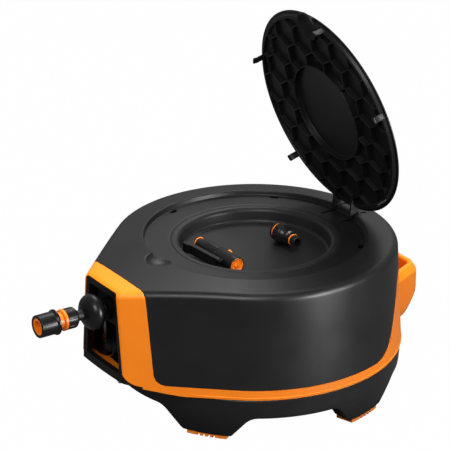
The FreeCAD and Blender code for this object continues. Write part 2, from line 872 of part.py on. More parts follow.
def make_lower_pan():
    """Tub inside the band: floor, low wall, swivel spigot, axle seat and bearing bosses."""
    gap = num("seam_gap")
    floor = num("body_low_z")
    floor_top = floor + num("pan_floor")
    wall = num("pan_wall")
    wall_top = num("pan_wall_top_z")

    def slab(inset):
        return inner_area(inset).common(block(-REACH, REACH, -num("pan_front_y"), REACH, LOW, wall_top))

    ledge = WALL + num("pan_ledge") + gap
    above_ledge = height_limits(WALL)
    tub = slab(WALL + gap).common(above_ledge)
    tub = tub.fuse(slab(ledge).common(height_limits(0)))
    floor_space = height_limits(num("pan_floor"))
    ledge_space = height_limits(WALL + num("pan_floor"))
    tub = tub.cut(inner_area(ledge + wall).common(floor_space))
    tub = tub.cut(inner_area(WALL + gap + wall).common(ledge_space))
    front_space = block(-REACH, REACH, -REACH, -num("pan_front_y") + wall, LOW, HIGH)
    tub = tub.cut(front_space.common(ledge_space))
    liner_y = num("pocket_y") - WALL - gap
    tub = tub.cut(block(-num("pocket_half") - WALL - gap, num("pocket_half") + WALL + gap,
                        liner_y, REACH, num("pocket_low_z") - WALL - gap, HIGH))
    spigot_low = num("base_plate_z") - num("running_gap")
    spigot = Part.makeCylinder(num("spigot_radius"), floor_top - spigot_low, Vector(0, 0, spigot_low))
    tub = tub.fuse(spigot)
    tub = drilled(tub, num("spigot_bore"), Vector(0, 0, spigot_low - 1), Vector(0, 0, floor - 2))
    bosses = []
    drum = num("drum_low_z")
    idler = idler_spot()
    screw = screw_spot()
    gear_low = gear_low_z()
    gap_up = num("running_gap")
    rod_top = num("rod_low_z") + num("rod_boss_low")
    for spot, radius, high in (
        (guide_ends()[0][0], num("rod_boss"), rod_top),
        (guide_ends()[1][0], num("rod_boss"), rod_top),
        (idler, 2 * num("idler_pin_radius"), gear_low - gap_up),
        (screw, 2 * num("lead_screw_end"), gear_low - gap_up),
        (pawl_spot(), 2 * num("pawl_pin_radius"), drum - num("ratchet_height") - gap_up),
    ):
        boss = Part.makeCylinder(radius, high - floor, spot + Vector(0, 0, floor))
        bosses.append(boss.common(height_limits(0)))
    tub = tub.multiFuse(bosses)
    for spot, radius in guide_ends()[:2]:
        tub = drilled(tub, radius, spot + Vector(0, 0, num("rod_low_z")), spot + Vector(0, 0, HIGH))
    tub = drilled(tub, num("idler_pin_radius") + num("press_gap"),
                  idler + Vector(0, 0, floor_top), idler + Vector(0, 0, HIGH))
    tub = drilled(tub, num("lead_screw_end") + num("shaft_fit"),
                  screw + Vector(0, 0, floor_top), screw + Vector(0, 0, HIGH))
    tub = drilled(tub, num("pawl_pin_radius") + num("press_gap"),
                  pawl_spot() + Vector(0, 0, floor_top), pawl_spot() + Vector(0, 0, HIGH))
    for turn in BOSS_TURNS:
        spot = boss_spot(turn)
        tub = drilled(tub, num("screw_radius") + num("press_gap"),
                      spot + Vector(0, 0, LOW), spot + Vector(0, 0, floor_top + WALL))
    inlet = polar(REACH, num("inlet_turn"), num("inlet_z"))
    hole = num("inlet_nipple_radius") + num("seat_gap")
    tub = drilled(tub, hole, polar(num("axle_foot_radius") * 3, num("inlet_turn"), num("inlet_z")), inlet)
    for turn in SCREW_TURNS:
        spot = retainer_screw_spot(turn)
        tub = drilled(tub, num("screw_radius") + num("press_gap"),
                      spot + Vector(0, 0, spigot_low - 1), spot + Vector(0, 0, floor))
    return tub.removeSplitter()


def retainer_screw_spot(turn):
    return polar((num("spigot_radius") + num("spigot_bore")) / 2, turn)


# Level wind gearing: drum gear, idler and screw gear in one plane under the drum.


def gear_low_z():
    return num("drum_low_z") - num("ratchet_height") - num("gear_height")


def pitch_radius(teeth_alias):
    return num(teeth_alias) * gear_module() / 2


def gear_module():
    """Tooth size that lets the three gears fill the way from the drum axis to the lead screw."""
    return screw_spot().Length * num("gear_fill")


def screw_spot():
    return Vector(-num("screw_x"), -num("screw_y"), 0)


def idler_spot():
    """Idler centre that meshes with both the drum gear and the screw gear."""
    near = pitch_radius("drum_teeth") + pitch_radius("idler_teeth")
    far = pitch_radius("idler_teeth") + pitch_radius("screw_teeth")
    screw = screw_spot()
    along = (screw.Length ** 2 + near ** 2 - far ** 2) / (2 * screw.Length)
    aside = math.sqrt(near ** 2 - along ** 2)
    way = Vector(screw).normalize()
    return way * along + Vector(way.y, -way.x, 0) * aside


def pawl_spot():
    return polar(num("pawl_pivot_radius"), num("pawl_turn"))


def gear_face(teeth, bore):
    """Involute spur gear outline with one tooth centred on +X, and its bore."""
    module = gear_module()
    pitch = teeth * module / 2
    pressure = math.radians(20)
    base = pitch * math.cos(pressure)
    tip = pitch + module
    root = pitch - 1.25 * module
    half_tooth = math.pi / (2 * teeth) - num("gear_backlash") / (2 * pitch)

    def spread(radius):
        slant = math.acos(min(1.0, base / radius))
        return math.tan(slant) - slant

    start = max(base, root)
    radii = [start + (tip - start) * part / 3 for part in range(4)]
    flank = [(radius, half_tooth + spread(pitch) - spread(radius)) for radius in radii]
    edges = []

    def at(radius, angle):
        return Vector(radius * math.cos(angle), radius * math.sin(angle), 0)

    for tooth in range(int(teeth)):
        centre = 2 * math.pi * tooth / teeth
        following = centre + 2 * math.pi / teeth
        rising = [at(radius, centre - lean) for radius, lean in flank]
        falling = [at(radius, centre + lean) for radius, lean in reversed(flank)]
        foot_in = at(root, centre - flank[0][1])
        foot_out = at(root, centre + flank[0][1])
        next_foot = at(root, following - flank[0][1])
        curve = Part.BSplineCurve()
        curve.interpolate(rising)
        back = Part.BSplineCurve()
        back.interpolate(falling)
        if start > root:
            edges.append(Part.LineSegment(foot_in, rising[0]).toShape())
        edges.append(curve.toShape())
        edges.append(Part.Arc(rising[-1], at(tip, centre), falling[0]).toShape())
        edges.append(back.toShape())
        if start > root:
            edges.append(Part.LineSegment(falling[-1], foot_out).toShape())
        edges.append(Part.Arc(foot_out, at(root, centre + math.pi / teeth), next_foot).toShape())
    return Part.Face(Part.Wire(edges)).cut(Part.Face(Part.Wire(Part.makeCircle(bore))))


def gear_solid(teeth, bore, turn, centre, height):
    gear = gear_face(teeth, bore).extrude(Vector(0, 0, height))
    gear.rotate(Vector(), Vector(0, 0, 1), math.degrees(turn))
    gear.translate(centre + Vector(0, 0, gear_low_z()))
    return gear


def mesh_turns():
    """Angles that put the three gears in mesh at rest."""
    drum, idler, screw = int(num("drum_teeth")), int(num("idler_teeth")), int(num("screw_teeth"))
    to_idler = idler_spot()
    to_screw = screw_spot() - idler_spot()
    first = math.atan2(to_idler.y, to_idler.x)
    second = math.atan2(to_screw.y, to_screw.x)
    idler_turn = first + math.pi + math.pi / idler
    step = 2 * math.pi / idler
    lead = (idler_turn - second) / step
    lead = (lead - round(lead)) * step
    screw_turn = second + math.pi - lead * idler / screw + math.pi / screw
    return first, idler_turn, screw_turn


# Base with its feet


def make_base_ring():
    """Turned skirt with a bearing track and hub, arched open between five feet."""
    body = turned_body("base_ring", [
        (D("spigot_radius") + D("swivel_fit"), D("base_plate_z")),
        (D("base_mid_radius") - D("base_wall") - D("foot_depth"), D("base_plate_z")),
        (D("base_foot_radius") - D("foot_depth"), D("pad_height")),
        (D("base_foot_radius"), D("pad_height")),
        (D("base_mid_radius"), D("base_mid_z")),
        (D("base_top_radius"), D("base_top_z")),
        (D("base_top_radius") - D("base_wall"), D("base_top_z")),
        (D("base_top_radius") - D("base_wall"), D("base_plate_z") + D("base_plate")),
        (D("track_outer"), D("base_plate_z") + D("base_plate")),
        (D("track_outer"), D("body_low_z") - D("slide_ring_height")),
        (D("track_inner"), D("body_low_z") - D("slide_ring_height")),
        (D("track_inner"), D("base_plate_z") + D("base_plate")),
        (D("spigot_radius") + D("hub_wall"), D("base_plate_z") + D("base_plate")),
        (D("spigot_radius") + D("hub_wall"), D("base_top_z") - D("running_gap")),
        (D("spigot_radius") + D("swivel_fit"), D("base_top_z") - D("running_gap")),
    ])
    # arch between two feet, cut outwards along +X and repeated round the ring
    half = D("base_foot_radius") * math.sin(math.pi / FEET) - D("foot_half_width")
    arch = sketch_on(body, "YZ_Plane", [
        (-half, -D("pad_height")),
        (half, -D("pad_height")),
        (half, D("pad_height")),
        (half - D("foot_flare"), D("base_mid_z")),
        (-(half - D("foot_flare")), D("base_mid_z")),
        (-half, D("pad_height")),
    ], "base_arch")
    pocket = body.newObject("PartDesign::Pocket", "base_arch_cut")
    pocket.Profile = arch
    bind(pocket, "Length", D("base_top_radius") + D("base_wall"))
    pocket.Reversed = True
    doc.recompute()
    pattern = body.newObject("PartDesign::PolarPattern", "base_arches")
    pattern.Originals = [pocket]
    axis = [item for item in body.Origin.OriginFeatures if item.Role == "Z_Axis"][0]
    pattern.Axis = (axis, [""])
    pattern.Angle = 360
    pattern.Occurrences = FEET
    body.Tip = pattern
    doc.recompute()
    rounding = body.newObject("PartDesign::Fillet", "base_arch_corners")
    rounding.Base = (pattern, arch_corner_names(pattern.Shape))
    bind(rounding, "Radius", D("arch_round"))
    body.Tip = rounding
    doc.recompute()
    foot_turn = Rotation(Vector(0, 0, 1), num("foot_turn") + 180 / FEET)
    keep("base_ring", place(body, turn=foot_turn))


def arch_corner_names(shape):
    """Names of the straight edges where an arch's ceiling meets its two leaning sides."""
    names = []
    for number, edge in enumerate(shape.Edges, 1):
        spots = [vertex.Point for vertex in edge.Vertexes]
        if len(spots) != 2 or not isinstance(edge.Curve, Part.Line):
            continue
        if max(abs(spot.z - num("base_mid_z")) for spot in spots) < 0.01:
            names.append(f"Edge{number}")
    return names


def make_foot_pads():
    """Five rubber pads: a thin web with two end blocks and three ribs between."""
    outer = num("base_foot_radius") - num("pad_margin")
    inner = num("base_foot_radius") - num("foot_depth") + num("pad_margin")
    half = num("foot_half_width") - num("pad_margin")
    height = num("pad_height")
    ring = turned(tube_corners(inner, outer, 0, height))
    foot = ring.common(block(0, REACH, -half, half, 0, height))
    rib, gap = num("pad_rib"), num("pad_gap")
    step = rib + gap
    for number in range(-2, 2):
        middle = (number + 0.5) * step
        foot = foot.cut(block(0, REACH, middle - gap / 2, middle + gap / 2, -1, height - num("pad_web")))
    pads = []
    for number in range(FEET):
        pad = foot.copy()
        pad.rotate(Vector(), Vector(0, 0, 1), num("foot_turn") + number * 360 / FEET)
        pads.append(pad)
    keep_shape("foot_pads", Part.makeCompound(pads))


def screw_solid(length):
    """Pan-head screw, head below z = 0, shank upwards."""
    shank = Part.makeCylinder(num("screw_radius"), length, Vector())
    head = Part.makeCylinder(num("screw_head_radius"), num("screw_head"), Vector(0, 0, -num("screw_head")))
    return head.fuse(shank).removeSplitter()


def screw_group(label, spots, length, up=True):
    screws = []
    for spot in spots:
        screw = screw_solid(length)
        if not up:
            screw.rotate(Vector(), Vector(1, 0, 0), 180)
        screw.translate(spot)
        screws.append(screw)
    keep_shape(label, Part.makeCompound(screws))


def make_swivel():
    low = D("body_low_z") - D("slide_ring_height")
    keep("slide_ring", turned_body("slide_ring", tube_corners(
        D("track_inner") + D("pad_margin"), D("track_outer") - D("pad_margin"), low, D("body_low_z"))))
    high = num("base_plate_z") - num("running_gap")
    plate = Part.makeCylinder(num("retainer_radius"), num("retainer_height"),
                              Vector(0, 0, high - num("retainer_height")))
    for turn in SCREW_TURNS:
        spot = retainer_screw_spot(turn)
        plate = drilled(plate, num("screw_radius") + num("press_gap"), spot, spot + Vector(0, 0, HIGH))
    keep_shape("retainer_plate", plate)
    under = high - num("retainer_height")
    spots = [retainer_screw_spot(turn) + Vector(0, 0, under) for turn in SCREW_TURNS]
    screw_group("retainer_screws", spots, num("retainer_height") + num("screw_head_radius") * 3)


# Housing


def make_housing():
    keep_shape("top_shell", make_top_shell())
    keep_shape("side_band", make_side_band())
    keep_shape("lower_pan", make_lower_pan())
    under = num("body_low_z")
    low = num("body_low_z") + num("pan_floor") + WALL
    length = low - under + num("screw_head_radius") * 3
    screw_group("housing_screws", [boss_spot(turn) + Vector(0, 0, under) for turn in BOSS_TURNS], length)
    tray_top = D("shelf_z") + D("tray_lip_rise")
    inner = D("tray_hole_radius") - D("seat_gap") - D("tray_wall")
    keep("storage_tray", turned_body("storage_tray", [
        (0, D("tray_floor_z") - D("tray_wall")),
        (D("tray_floor_radius") + D("tray_wall") / 2, D("tray_floor_z") - D("tray_wall")),
        (D("tray_hole_radius") - D("seat_gap"), D("tray_floor_z") + D("tray_wall")),
        (D("tray_hole_radius") - D("seat_gap"), D("shelf_z")),
        (D("tray_hole_radius") + D("tray_lip"), D("shelf_z")),
        (D("tray_hole_radius") + D("tray_lip"), tray_top),
        (inner, tray_top),
        (D("tray_floor_radius"), D("tray_floor_z")),
        (0, D("tray_floor_z")),
    ]))
    make_bezel()
    make_handle()


def make_bezel():
    front = -num("nose_front") + num("bezel_inset")
    depth = num("bezel_depth")
    plate = portal_outline(front, -num("seat_gap")).extrude(Vector(0, depth, 0))
    mouth = mouth_outline(front - 1).extrude(Vector(0, depth + 2, 0))
    plate = plate.common(body_solid(num("bezel_inset") / 2, ROUND))
    flange_y = WALL - num("nose_front")
    flange = portal_outline(flange_y, num("bezel_flange")).extrude(Vector(0, WALL, 0))
    room = body_solid(WALL + num("seat_gap"), ROUND - WALL)
    room.translate(Vector(0, -num("seat_gap"), 0))
    plate = plate.fuse(flange.common(room))
    # cheeks that wrap the lower front corner of the nose
    cheeks = body_solid(num("bezel_inset") / 2, ROUND).cut(body_solid(WALL, ROUND - WALL))
    plate = plate.fuse(cheeks.common(nose_foot(num("seat_gap"))))
    keep_shape("front_bezel", plate.cut(mouth).removeSplitter())


def make_handle():
    """Grip loop on the rear panel: two arms, a straight bar and a skirt that slopes back."""
    root_y = num("handle_root_y")
    corner = num("handle_corner")
    low, high = num("handle_low_z"), num("handle_high_z")
    foot = low - num("handle_skirt")

    def loop(z, inset_side, inset_back, radius):
        corners = [
            (Vector(num("handle_root_half") - inset_side, root_y, z), 0),
            (Vector(num("handle_bar_half") - inset_side, num("handle_reach") - inset_back, z), radius),
            (Vector(inset_side - num("handle_bar_half"), num("handle_reach") - inset_back, z), radius),
            (Vector(inset_side - num("handle_root_half"), root_y, z), 0),
        ]
        return rounded_outline(corners)

    outside = Part.Face(loop(low, 0, 0, corner)).extrude(Vector(0, 0, high - low))
    edges = []
    for edge in outside.Edges:
        spots = [edge.valueAt(edge.FirstParameter), edge.valueAt(edge.LastParameter)]
        on_top = min(spot.z for spot in spots) > high - 0.01
        if on_top and max(spot.y for spot in spots) > root_y + 1:
            edges.append(edge)
    outside = outside.makeFillet(num("handle_round"), edges)
    skirt = Part.makeLoft(
        [loop(low, 0, 0, corner), loop(foot, 0, num("handle_skirt_back"), corner)], True, True)
    inside = Part.Face(loop(foot, num("handle_arm"), num("handle_bar"), num("handle_round")))
    handle = outside.fuse(skirt).cut(inside.extrude(Vector(0, 0, high - foot)))
    clear = Part.makeLoft([body_wire(LOW, -num("seat_gap")), body_wire(HIGH, -num("seat_gap"))], True, True)
    handle = handle.cut(clear)
    for side in (-1, 1):
        start, end = handle_peg_ends(side)
        peg = Part.makeCylinder(num("handle_peg"), num("handle_peg_length"), start, end - start)
        handle = handle.fuse(peg)
    keep_shape("carry_handle", handle.removeSplitter())


def handle_peg_ends(side):
    """Line of one peg that fixes the handle through the rear panel."""
    z = (num("handle_low_z") + num("handle_high_z")) / 2
    start = Vector(side * num("handle_peg_x"), num("handle_root_y"), z)
    return start, start + Vector(0, num("handle_peg_length"), 0)


# Lid, built closed and swung open about the hinge pin


def make_lid():
    radius = lid_radius()
    edge_z = num("lid_edge_z")
    skin = num("lid_skin")
    rib_low = edge_z - num("lid_rib_depth")
    crown = edge_z + num("lid_crown")
    bead_out = radius - num("lid_flange")
    bead_in = bead_out - num("lid_bead")
    ring = num("lid_ring_radius")
    rib = num("lid_rib")
    sink = num("lid_ring_sink")
    # crowned top as one arc from the rim to the middle
    rim = Vector(radius, 0, edge_z + skin * 0.4)
    middle = Vector(0, 0, crown)
    sag = crown - rim.z
    bow = (radius * radius + sag * sag) / (2 * sag)
    half = math.asin(radius / bow) / 2
    on_arc = Vector(bow * math.sin(half), 0, crown - bow + bow * math.cos(half))
    outline = [
        Part.Arc(middle, on_arc, rim).toShape(),
        Part.makeLine(rim, Vector(radius, 0, edge_z - skin)),
        Part.makeLine(Vector(radius, 0, edge_z - skin), Vector(bead_out, 0, edge_z - skin)),
        Part.makeLine(Vector(bead_out, 0, edge_z - skin), Vector(bead_out, 0, rib_low)),
        Part.makeLine(Vector(bead_out, 0, rib_low), Vector(0, 0, rib_low)),
        Part.makeLine(Vector(0, 0, rib_low), middle),
    ]
    lid = Part.Face(Part.Wire(outline)).revolve(Vector(), Vector(0, 0, 1), 360)
    # finger cup over the recess edge: a domed cap with a wall below it
    lobe = num("lid_lobe_radius")
    foot = Vector(0, -num("lid_lobe_y"), rib_low)
    cup, depth = lobe - skin, num("lid_dish_depth")
    ball = (cup * cup + depth * depth) / (2 * depth)
    dome = Vector(0, -num("lid_lobe_y"), edge_z + depth - ball)
    cap = Part.makeSphere(ball + skin, dome)
    cap = cap.common(Part.makeCylinder(lobe, 2 * depth, Vector(foot.x, foot.y, edge_z)))
    lid = lid.multiFuse([Part.makeCylinder(lobe, edge_z - rib_low, foot), cap])
    # honeycomb pockets between the bead and the middle ring
    pitch = num("lid_cell")
    cell = (pitch - rib) / math.sqrt(3)
    annulus = turned(tube_corners(ring + rib, bead_in, rib_low - 1, edge_z))
    annulus = annulus.cut(Part.makeCylinder(lobe, 2 * depth + edge_z - rib_low, foot - Vector(0, 0, depth)))
    rows = int(radius / (pitch * math.sqrt(3) / 2)) + 1
    cells = []
    for row in range(-rows, rows + 1):
        for column in range(-rows - 1, rows + 2):
            x = (column + 0.5 * (row % 2)) * pitch
            y = row * pitch * math.sqrt(3) / 2
            if math.hypot(x, y) > bead_in + pitch / 2 or math.hypot(x, y) < ring - pitch / 2:
                continue
            points = [Vector(x, y, rib_low - 1) + polar(cell, 30 + 60 * turn) for turn in range(6)]
            face = Part.Face(Part.makePolygon(points + points[:1]))
            cells.append(face.extrude(Vector(0, 0, edge_z - rib_low + 1)))
    pockets = Part.makeCompound(cells).common(annulus)
    lid = lid.cut(pockets)
    lid = lid.cut(Part.makeCylinder(ring, num("lid_rib_depth") + sink + 1, Vector(0, 0, rib_low - 1)))
    hollow = Part.makeCylinder(cup, edge_z - rib_low + 1, foot - Vector(0, 0, 1))
    lid = lid.cut(hollow.fuse(Part.makeSphere(ball, dome).common(
        Part.makeCylinder(cup, 2 * depth, Vector(foot.x, foot.y, edge_z)))))
    # snap tabs and hinge ears
    tabs = [tab_block(turn, 0, edge_z) for turn in TAB_TURNS]
    lid = lid.multiFuse(tabs + [ear_solid(side) for side in (-1, 1)])
    bore = num("hinge_pin_radius") + num("hinge_fit")
    lid = drilled(lid, bore, hinge_axis - Vector(REACH, 0, 0), hinge_axis + Vector(REACH, 0, 0))
    lid = lid.removeSplitter()
    panel = keep_shape("lid_panel", lid)
    swing = Rotation(Vector(1, 0, 0), -num("lid_open_angle"))
    panel.Placement = Placement(Vector(), swing, hinge_axis)


def ear_solid(side):
    """Hinge ear under the lid's rear edge: a web that runs tangent to a round foot below the pin."""
    x = side * num("ear_half_span") - num("ear_width") / 2
    reach, boss = num("ear_radius"), num("ear_boss")
    rib_low = num("lid_edge_z") - num("lid_rib_depth")
    skin_z = num("lid_edge_z")
    root = Vector(x, num("ear_root_y"), rib_low)
    pin = hinge_axis + Vector(x, 0, 0)
    low = pin + Vector(0, 0, -reach)
    bulge = pin + Vector(0, reach * math.sin(math.pi / 6), -reach * math.cos(math.pi / 6))
    heel = pin + Vector(0, reach * math.sin(math.pi / 3), -reach * math.cos(math.pi / 3))
    behind = pin + Vector(0, boss, 0)
    above = pin + Vector(0, 0, boss)
    shoulder = pin + Vector(0, boss * math.cos(math.pi / 4), boss * math.sin(math.pi / 4))
    front_high = Vector(x, lid_radius() - num("lid_flange"), skin_z)
    edges = [
        Part.makeLine(Vector(x, num("ear_root_y"), skin_z), root),
        Part.makeLine(root, low),
        Part.Arc(low, bulge, heel).toShape(),
        Part.makeLine(heel, behind),
        Part.Arc(behind, shoulder, above).toShape(),
        Part.makeLine(above, front_high),
        Part.makeLine(front_high, Vector(x, num("ear_root_y"), skin_z)),
    ]
    return Part.Face(Part.Wire(edges)).extrude(Vector(num("ear_width"), 0, 0))


def make_hinge_pin():
    half = D("ear_half_span") + D("ear_width") / 2 + D("knuckle_width")
    keep("hinge_pin", cylinder("hinge_pin", D("hinge_pin_radius"), 2 * half,
                               -half, D("hinge_y"), D("hinge_z"), TO_RIGHT))


# Axle, drum and water way


def make_axle():
    floor = D("body_low_z") + D("pan_floor")
    body = turned_body("axle", [
        (D("axle_bore"), D("inlet_z") - D("axle_bore")),
        (0, D("inlet_z") - D("axle_bore")),
        (0, floor),
        (D("axle_foot_radius"), floor),
        (D("axle_foot_radius"), D("axle_foot_top_z")),
        (D("axle_neck"), D("axle_foot_top_z")),
        (D("axle_neck"), D("drum_low_z") - D("bush_length") / 4 - D("running_gap")),
        (D("axle_radius"), D("drum_low_z") - D("bush_length") / 4 - D("running_gap")),
        (D("axle_radius"), D("axle_top_z")),
        (0, D("axle_top_z")),
        (0, D("collar_low_z") + D("collar_height") / 2 + D("axle_bore")),
        (D("axle_bore"), D("collar_low_z") + D("collar_height") / 2 + D("axle_bore")),
    ])
    inlet = cylinder("axle_inlet", D("inlet_pipe_radius") + D("press_gap"), D("axle_foot_radius") * 2,
                     0, 0, D("inlet_z"), TO_RIGHT)
    inlet.Placement = Placement(Vector(0, 0, num("inlet_z")),
                                Rotation(Vector(0, 0, 1), num("inlet_turn")).multiply(TO_RIGHT))
    bind(inlet, "Placement.Base.z", D("inlet_z"))
    outlet = cylinder("axle_outlet", D("axle_bore") / 2, D("axle_radius") * 4, -D("axle_radius") * 2, 0,
                      D("collar_low_z") + D("collar_height") / 2, TO_RIGHT)
    keep("axle", cut("axle_drilled", body, inlet, outlet))


def make_inlet():
    """Quick-connect nipple on the rear panel and the pipe that feeds the axle."""
    way = Rotation(Vector(0, 0, 1), num("inlet_turn")).multiply(TO_RIGHT)
    rim = D("body_low_radius") + D("seat_gap")
    tip = rim + D("inlet_flange") + D("inlet_nipple_length")
    groove = tip - D("inlet_groove") * 3
    root = D("body_low_radius") - D("shell_wall") - D("pan_wall") * 3
    bore = D("inlet_pipe_radius") + D("press_gap")
    nipple = turned_body("inlet_nipple", [
        (bore, root),
        (D("inlet_nipple_radius"), root),
        (D("inlet_nipple_radius"), rim),
        (D("inlet_flange_radius"), rim),
        (D("inlet_flange_radius"), rim + D("inlet_flange")),
        (D("inlet_nipple_radius"), rim + D("inlet_flange")),
        (D("inlet_nipple_radius"), groove - D("inlet_groove")),
        (D("inlet_nipple_radius") - D("inlet_groove"), groove - D("inlet_groove")),
        (D("inlet_nipple_radius") - D("inlet_groove"), groove),
        (D("inlet_nipple_radius"), groove),
        (D("inlet_nipple_radius") - D("inlet_groove") / 2, tip),
        (bore, tip),
    ])
    nipple.Placement = Placement(Vector(0, 0, num("inlet_z")), way)
    bind(nipple, "Placement.Base.z", D("inlet_z"))
    keep("inlet_nipple", nipple)
    start = D("axle_foot_radius") / 2
    pipe = turned_body("inlet_pipe", tube_corners(
        D("inlet_pipe_bore"), D("inlet_pipe_radius"), start, rim + D("inlet_flange")))
    pipe.Placement = Placement(Vector(0, 0, num("inlet_z")), way)
    bind(pipe, "Placement.Base.z", D("inlet_z"))
    keep("inlet_pipe", pipe)


def make_drum():
    low = D("drum_low_z")
    top = low + D("drum_flange")
    high = D("drum_high_z")
    bush_out = D("axle_radius") + D("shaft_fit") + D("bush_wall")
    hub = turned_body("drum_hub", [
        (bush_out + D("press_gap"), low),
        (D("drum_flange_radius"), low),
        (D("drum_flange_radius"), top),
        (D("drum_hub_radius"), top),
        (D("drum_hub_radius"), high),
        (D("drum_hub_radius") - D("drum_hub_wall"), high),
        (D("drum_hub_radius") - D("drum_hub_wall"), top),
        (bush_out + D("press_gap"), top),
    ])
    stub_z = D("collar_low_z") + D("collar_height") / 2
    port = cylinder("drum_port", D("collar_stub") + D("press_gap"), D("drum_hub_radius") * 2,
                    0, 0, stub_z, TO_RIGHT)
    # round lightening windows in both flanges, outside the hub
    window_radius = (D("drum_hub_radius") + D("drum_flange_radius")) / 2
    holes = []
    for number in range(WINDOW_COUNT):
        share = polar(1.0, 360 * number / WINDOW_COUNT + 180 / WINDOW_COUNT)
        holes.append(cylinder(f"drum_window_{number}", D("drum_window"), D("drum_high_z"),
                              window_radius * share.x, window_radius * share.y, D("drum_low_z") / 2))
    keep("drum_hub", cut("drum_hub_drilled", hub, port, *holes, *flange_screw_holes("hub")))
    flange = turned_body("drum_flange", tube_corners(
        bush_out + D("press_gap"), D("drum_flange_radius"), high, high + D("drum_flange")))
    keep("drum_flange", cut("drum_flange_drilled", flange, *holes, *flange_screw_holes("flange")))
    over = num("drum_high_z") + num("drum_flange")
    spots = [spot + Vector(0, 0, over) for spot in flange_screw_spots()]
    screw_group("flange_screws", spots, num("drum_flange") * 3, up=False)
    quarter = D("bush_length") / 4
    for label, start in (("lower_bush", low - quarter), ("upper_bush", high - quarter)):
        keep(label, turned_body(label, tube_corners(
            D("axle_radius") + D("shaft_fit"), bush_out, start, start + D("bush_length"))))


def flange_screw_spots():
    radius = num("drum_hub_radius") - num("drum_hub_wall") / 2
    return [polar(radius, 360 * number / FLANGE_SCREW_COUNT + 30) for number in range(FLANGE_SCREW_COUNT)]


def flange_screw_holes(name):
    radius = D("drum_hub_radius") - D("drum_hub_wall") / 2
    holes = []
    for number in range(FLANGE_SCREW_COUNT):
        share = polar(1.0, 360 * number / FLANGE_SCREW_COUNT + 30)
        start = D("drum_high_z") - D("drum_flange") * 2 - D("running_gap")
        holes.append(cylinder(f"{name}_screw_hole_{number}", D("screw_radius") + D("press_gap"),
                              D("drum_flange") * 5, radius * share.x, radius * share.y, start))
    return holes


def make_spring():
    """Flat spiral power spring of half-circle arcs, hooked to the hub at its outer end."""
    inner, step, strip = num("spring_inner"), num("spring_step"), num("spring_strip")
    turns = int(num("spring_half_turns"))

    def spiral(shift):
        edges = []
        for number in range(turns):
            radius = inner + shift + number * step / 2
            way = 1 if number % 2 == 0 else -1
            centre = Vector(0 if number % 2 == 0 else step / 2, 0, 0)
            start = centre + Vector(radius * way, 0, 0)
            middle = centre + Vector(0, radius * way, 0)
            edges.append(Part.Arc(start, middle, centre - Vector(radius * way, 0, 0)).toShape())
        return edges

    near, far = spiral(0.0), spiral(strip)
    ends = []
    for index in (0, -1):
        spot = 0 if index == 0 else -1
        ends.append(Part.makeLine(near[index].Vertexes[spot].Point, far[index].Vertexes[spot].Point))
    outline = Part.Wire(Part.__sortEdges__(near + far + ends))
    strip_solid = Part.Face(outline).extrude(Vector(0, 0, num("spring_height")))
    strip_solid.translate(Vector(0, 0, num("spring_low_z")))
    last = inner + turns * step / 2
    low = num("spring_low_z")
    hook = block(last, num("spring_room"), -strip / 2, strip / 2, low, low + num("spring_height"))
    keep_shape("power_spring", strip_solid.fuse(hook).removeSplitter())
    cover_top = D("spring_cover_z") + D("spring_cover")
    keep("spring_cover", turned_body("spring_cover", tube_corners(
        D("axle_radius") + D("running_gap") * 2, D("spring_room"), D("spring_cover_z"), cover_top)))


def make_water_swivel():
    low = D("collar_low_z")
    bore = D("axle_radius") + D("shaft_fit")
    wire = D("seal_wire")
    groove = bore + 2 * wire
    high = low + D("collar_height")
    chamber = D("axle_bore")
    middle = low + D("collar_height") / 2
    outer = D("axle_radius") + D("collar_wall")
    collar = turned_body("swivel_collar", [
        (bore, low),
        (outer, low),
        (outer, high),
        (bore, high),
        (bore, high - wire),
        (groove, high - wire),
        (groove, high - 3 * wire),
        (bore, high - 3 * wire),
        (bore, middle + chamber / 2),
        (bore + wire, middle + chamber / 2),
        (bore + wire, middle - chamber / 2),
        (bore, middle - chamber / 2),
        (bore, low + 3 * wire),
        (groove, low + 3 * wire),
        (groove, low + wire),
        (bore, low + wire),
    ])
    stub_length = D("drum_hub_radius") - D("seat_gap") - outer + wire
    stub = cylinder("collar_stub_rod", D("collar_stub"), stub_length, outer - wire, 0, middle, TO_RIGHT)
    way = cylinder("collar_way", D("hose_bore") - wire, D("drum_hub_radius") * 2, 0, 0, middle, TO_RIGHT)
    keep("swivel_collar", cut("collar_drilled", fused("collar_joined", collar, stub), way))
    seals = []
    for z in (num("collar_low_z") + 2 * num("seal_wire"),
              num("collar_low_z") + num("collar_height") - 2 * num("seal_wire")):
        ring = num("axle_radius") + num("shaft_fit") + num("seal_wire")
        seals.append(Part.makeTorus(ring, num("seal_wire") * 0.95, Vector(0, 0, z)))
    keep_shape("swivel_seals", Part.makeCompound(seals))


def winding_wire(z_end):
    """Helix of quarter-turn biarcs that climbs to the exit height, with a straight run at each end."""
    radius, pitch = num("winding_radius"), num("hose_pitch")
    quarters = int(round(num("winding_turns") * 4))
    leave = leave_turn()
    points = []
    ways = []
    for number in range(quarters + 1):
        turn = leave + 90 * (quarters - number)
        z = z_end - pitch / 4 * (quarters - number)
        points.append(polar(radius, turn, z))
        way = polar(1.0, turn - 90, pitch / (2 * math.pi * radius))
        ways.append(way.normalize())
    run = 2 * num("hose_radius")
    edges = [Part.makeLine(points[0] - ways[0] * run, points[0])]
    for number in range(quarters):
        edges += biarc(points[number], ways[number], points[number + 1], ways[number + 1])
    edges.append(Part.makeLine(points[-1], points[-1] + ways[-1] * run))
    return Part.Wire(edges), points, ways


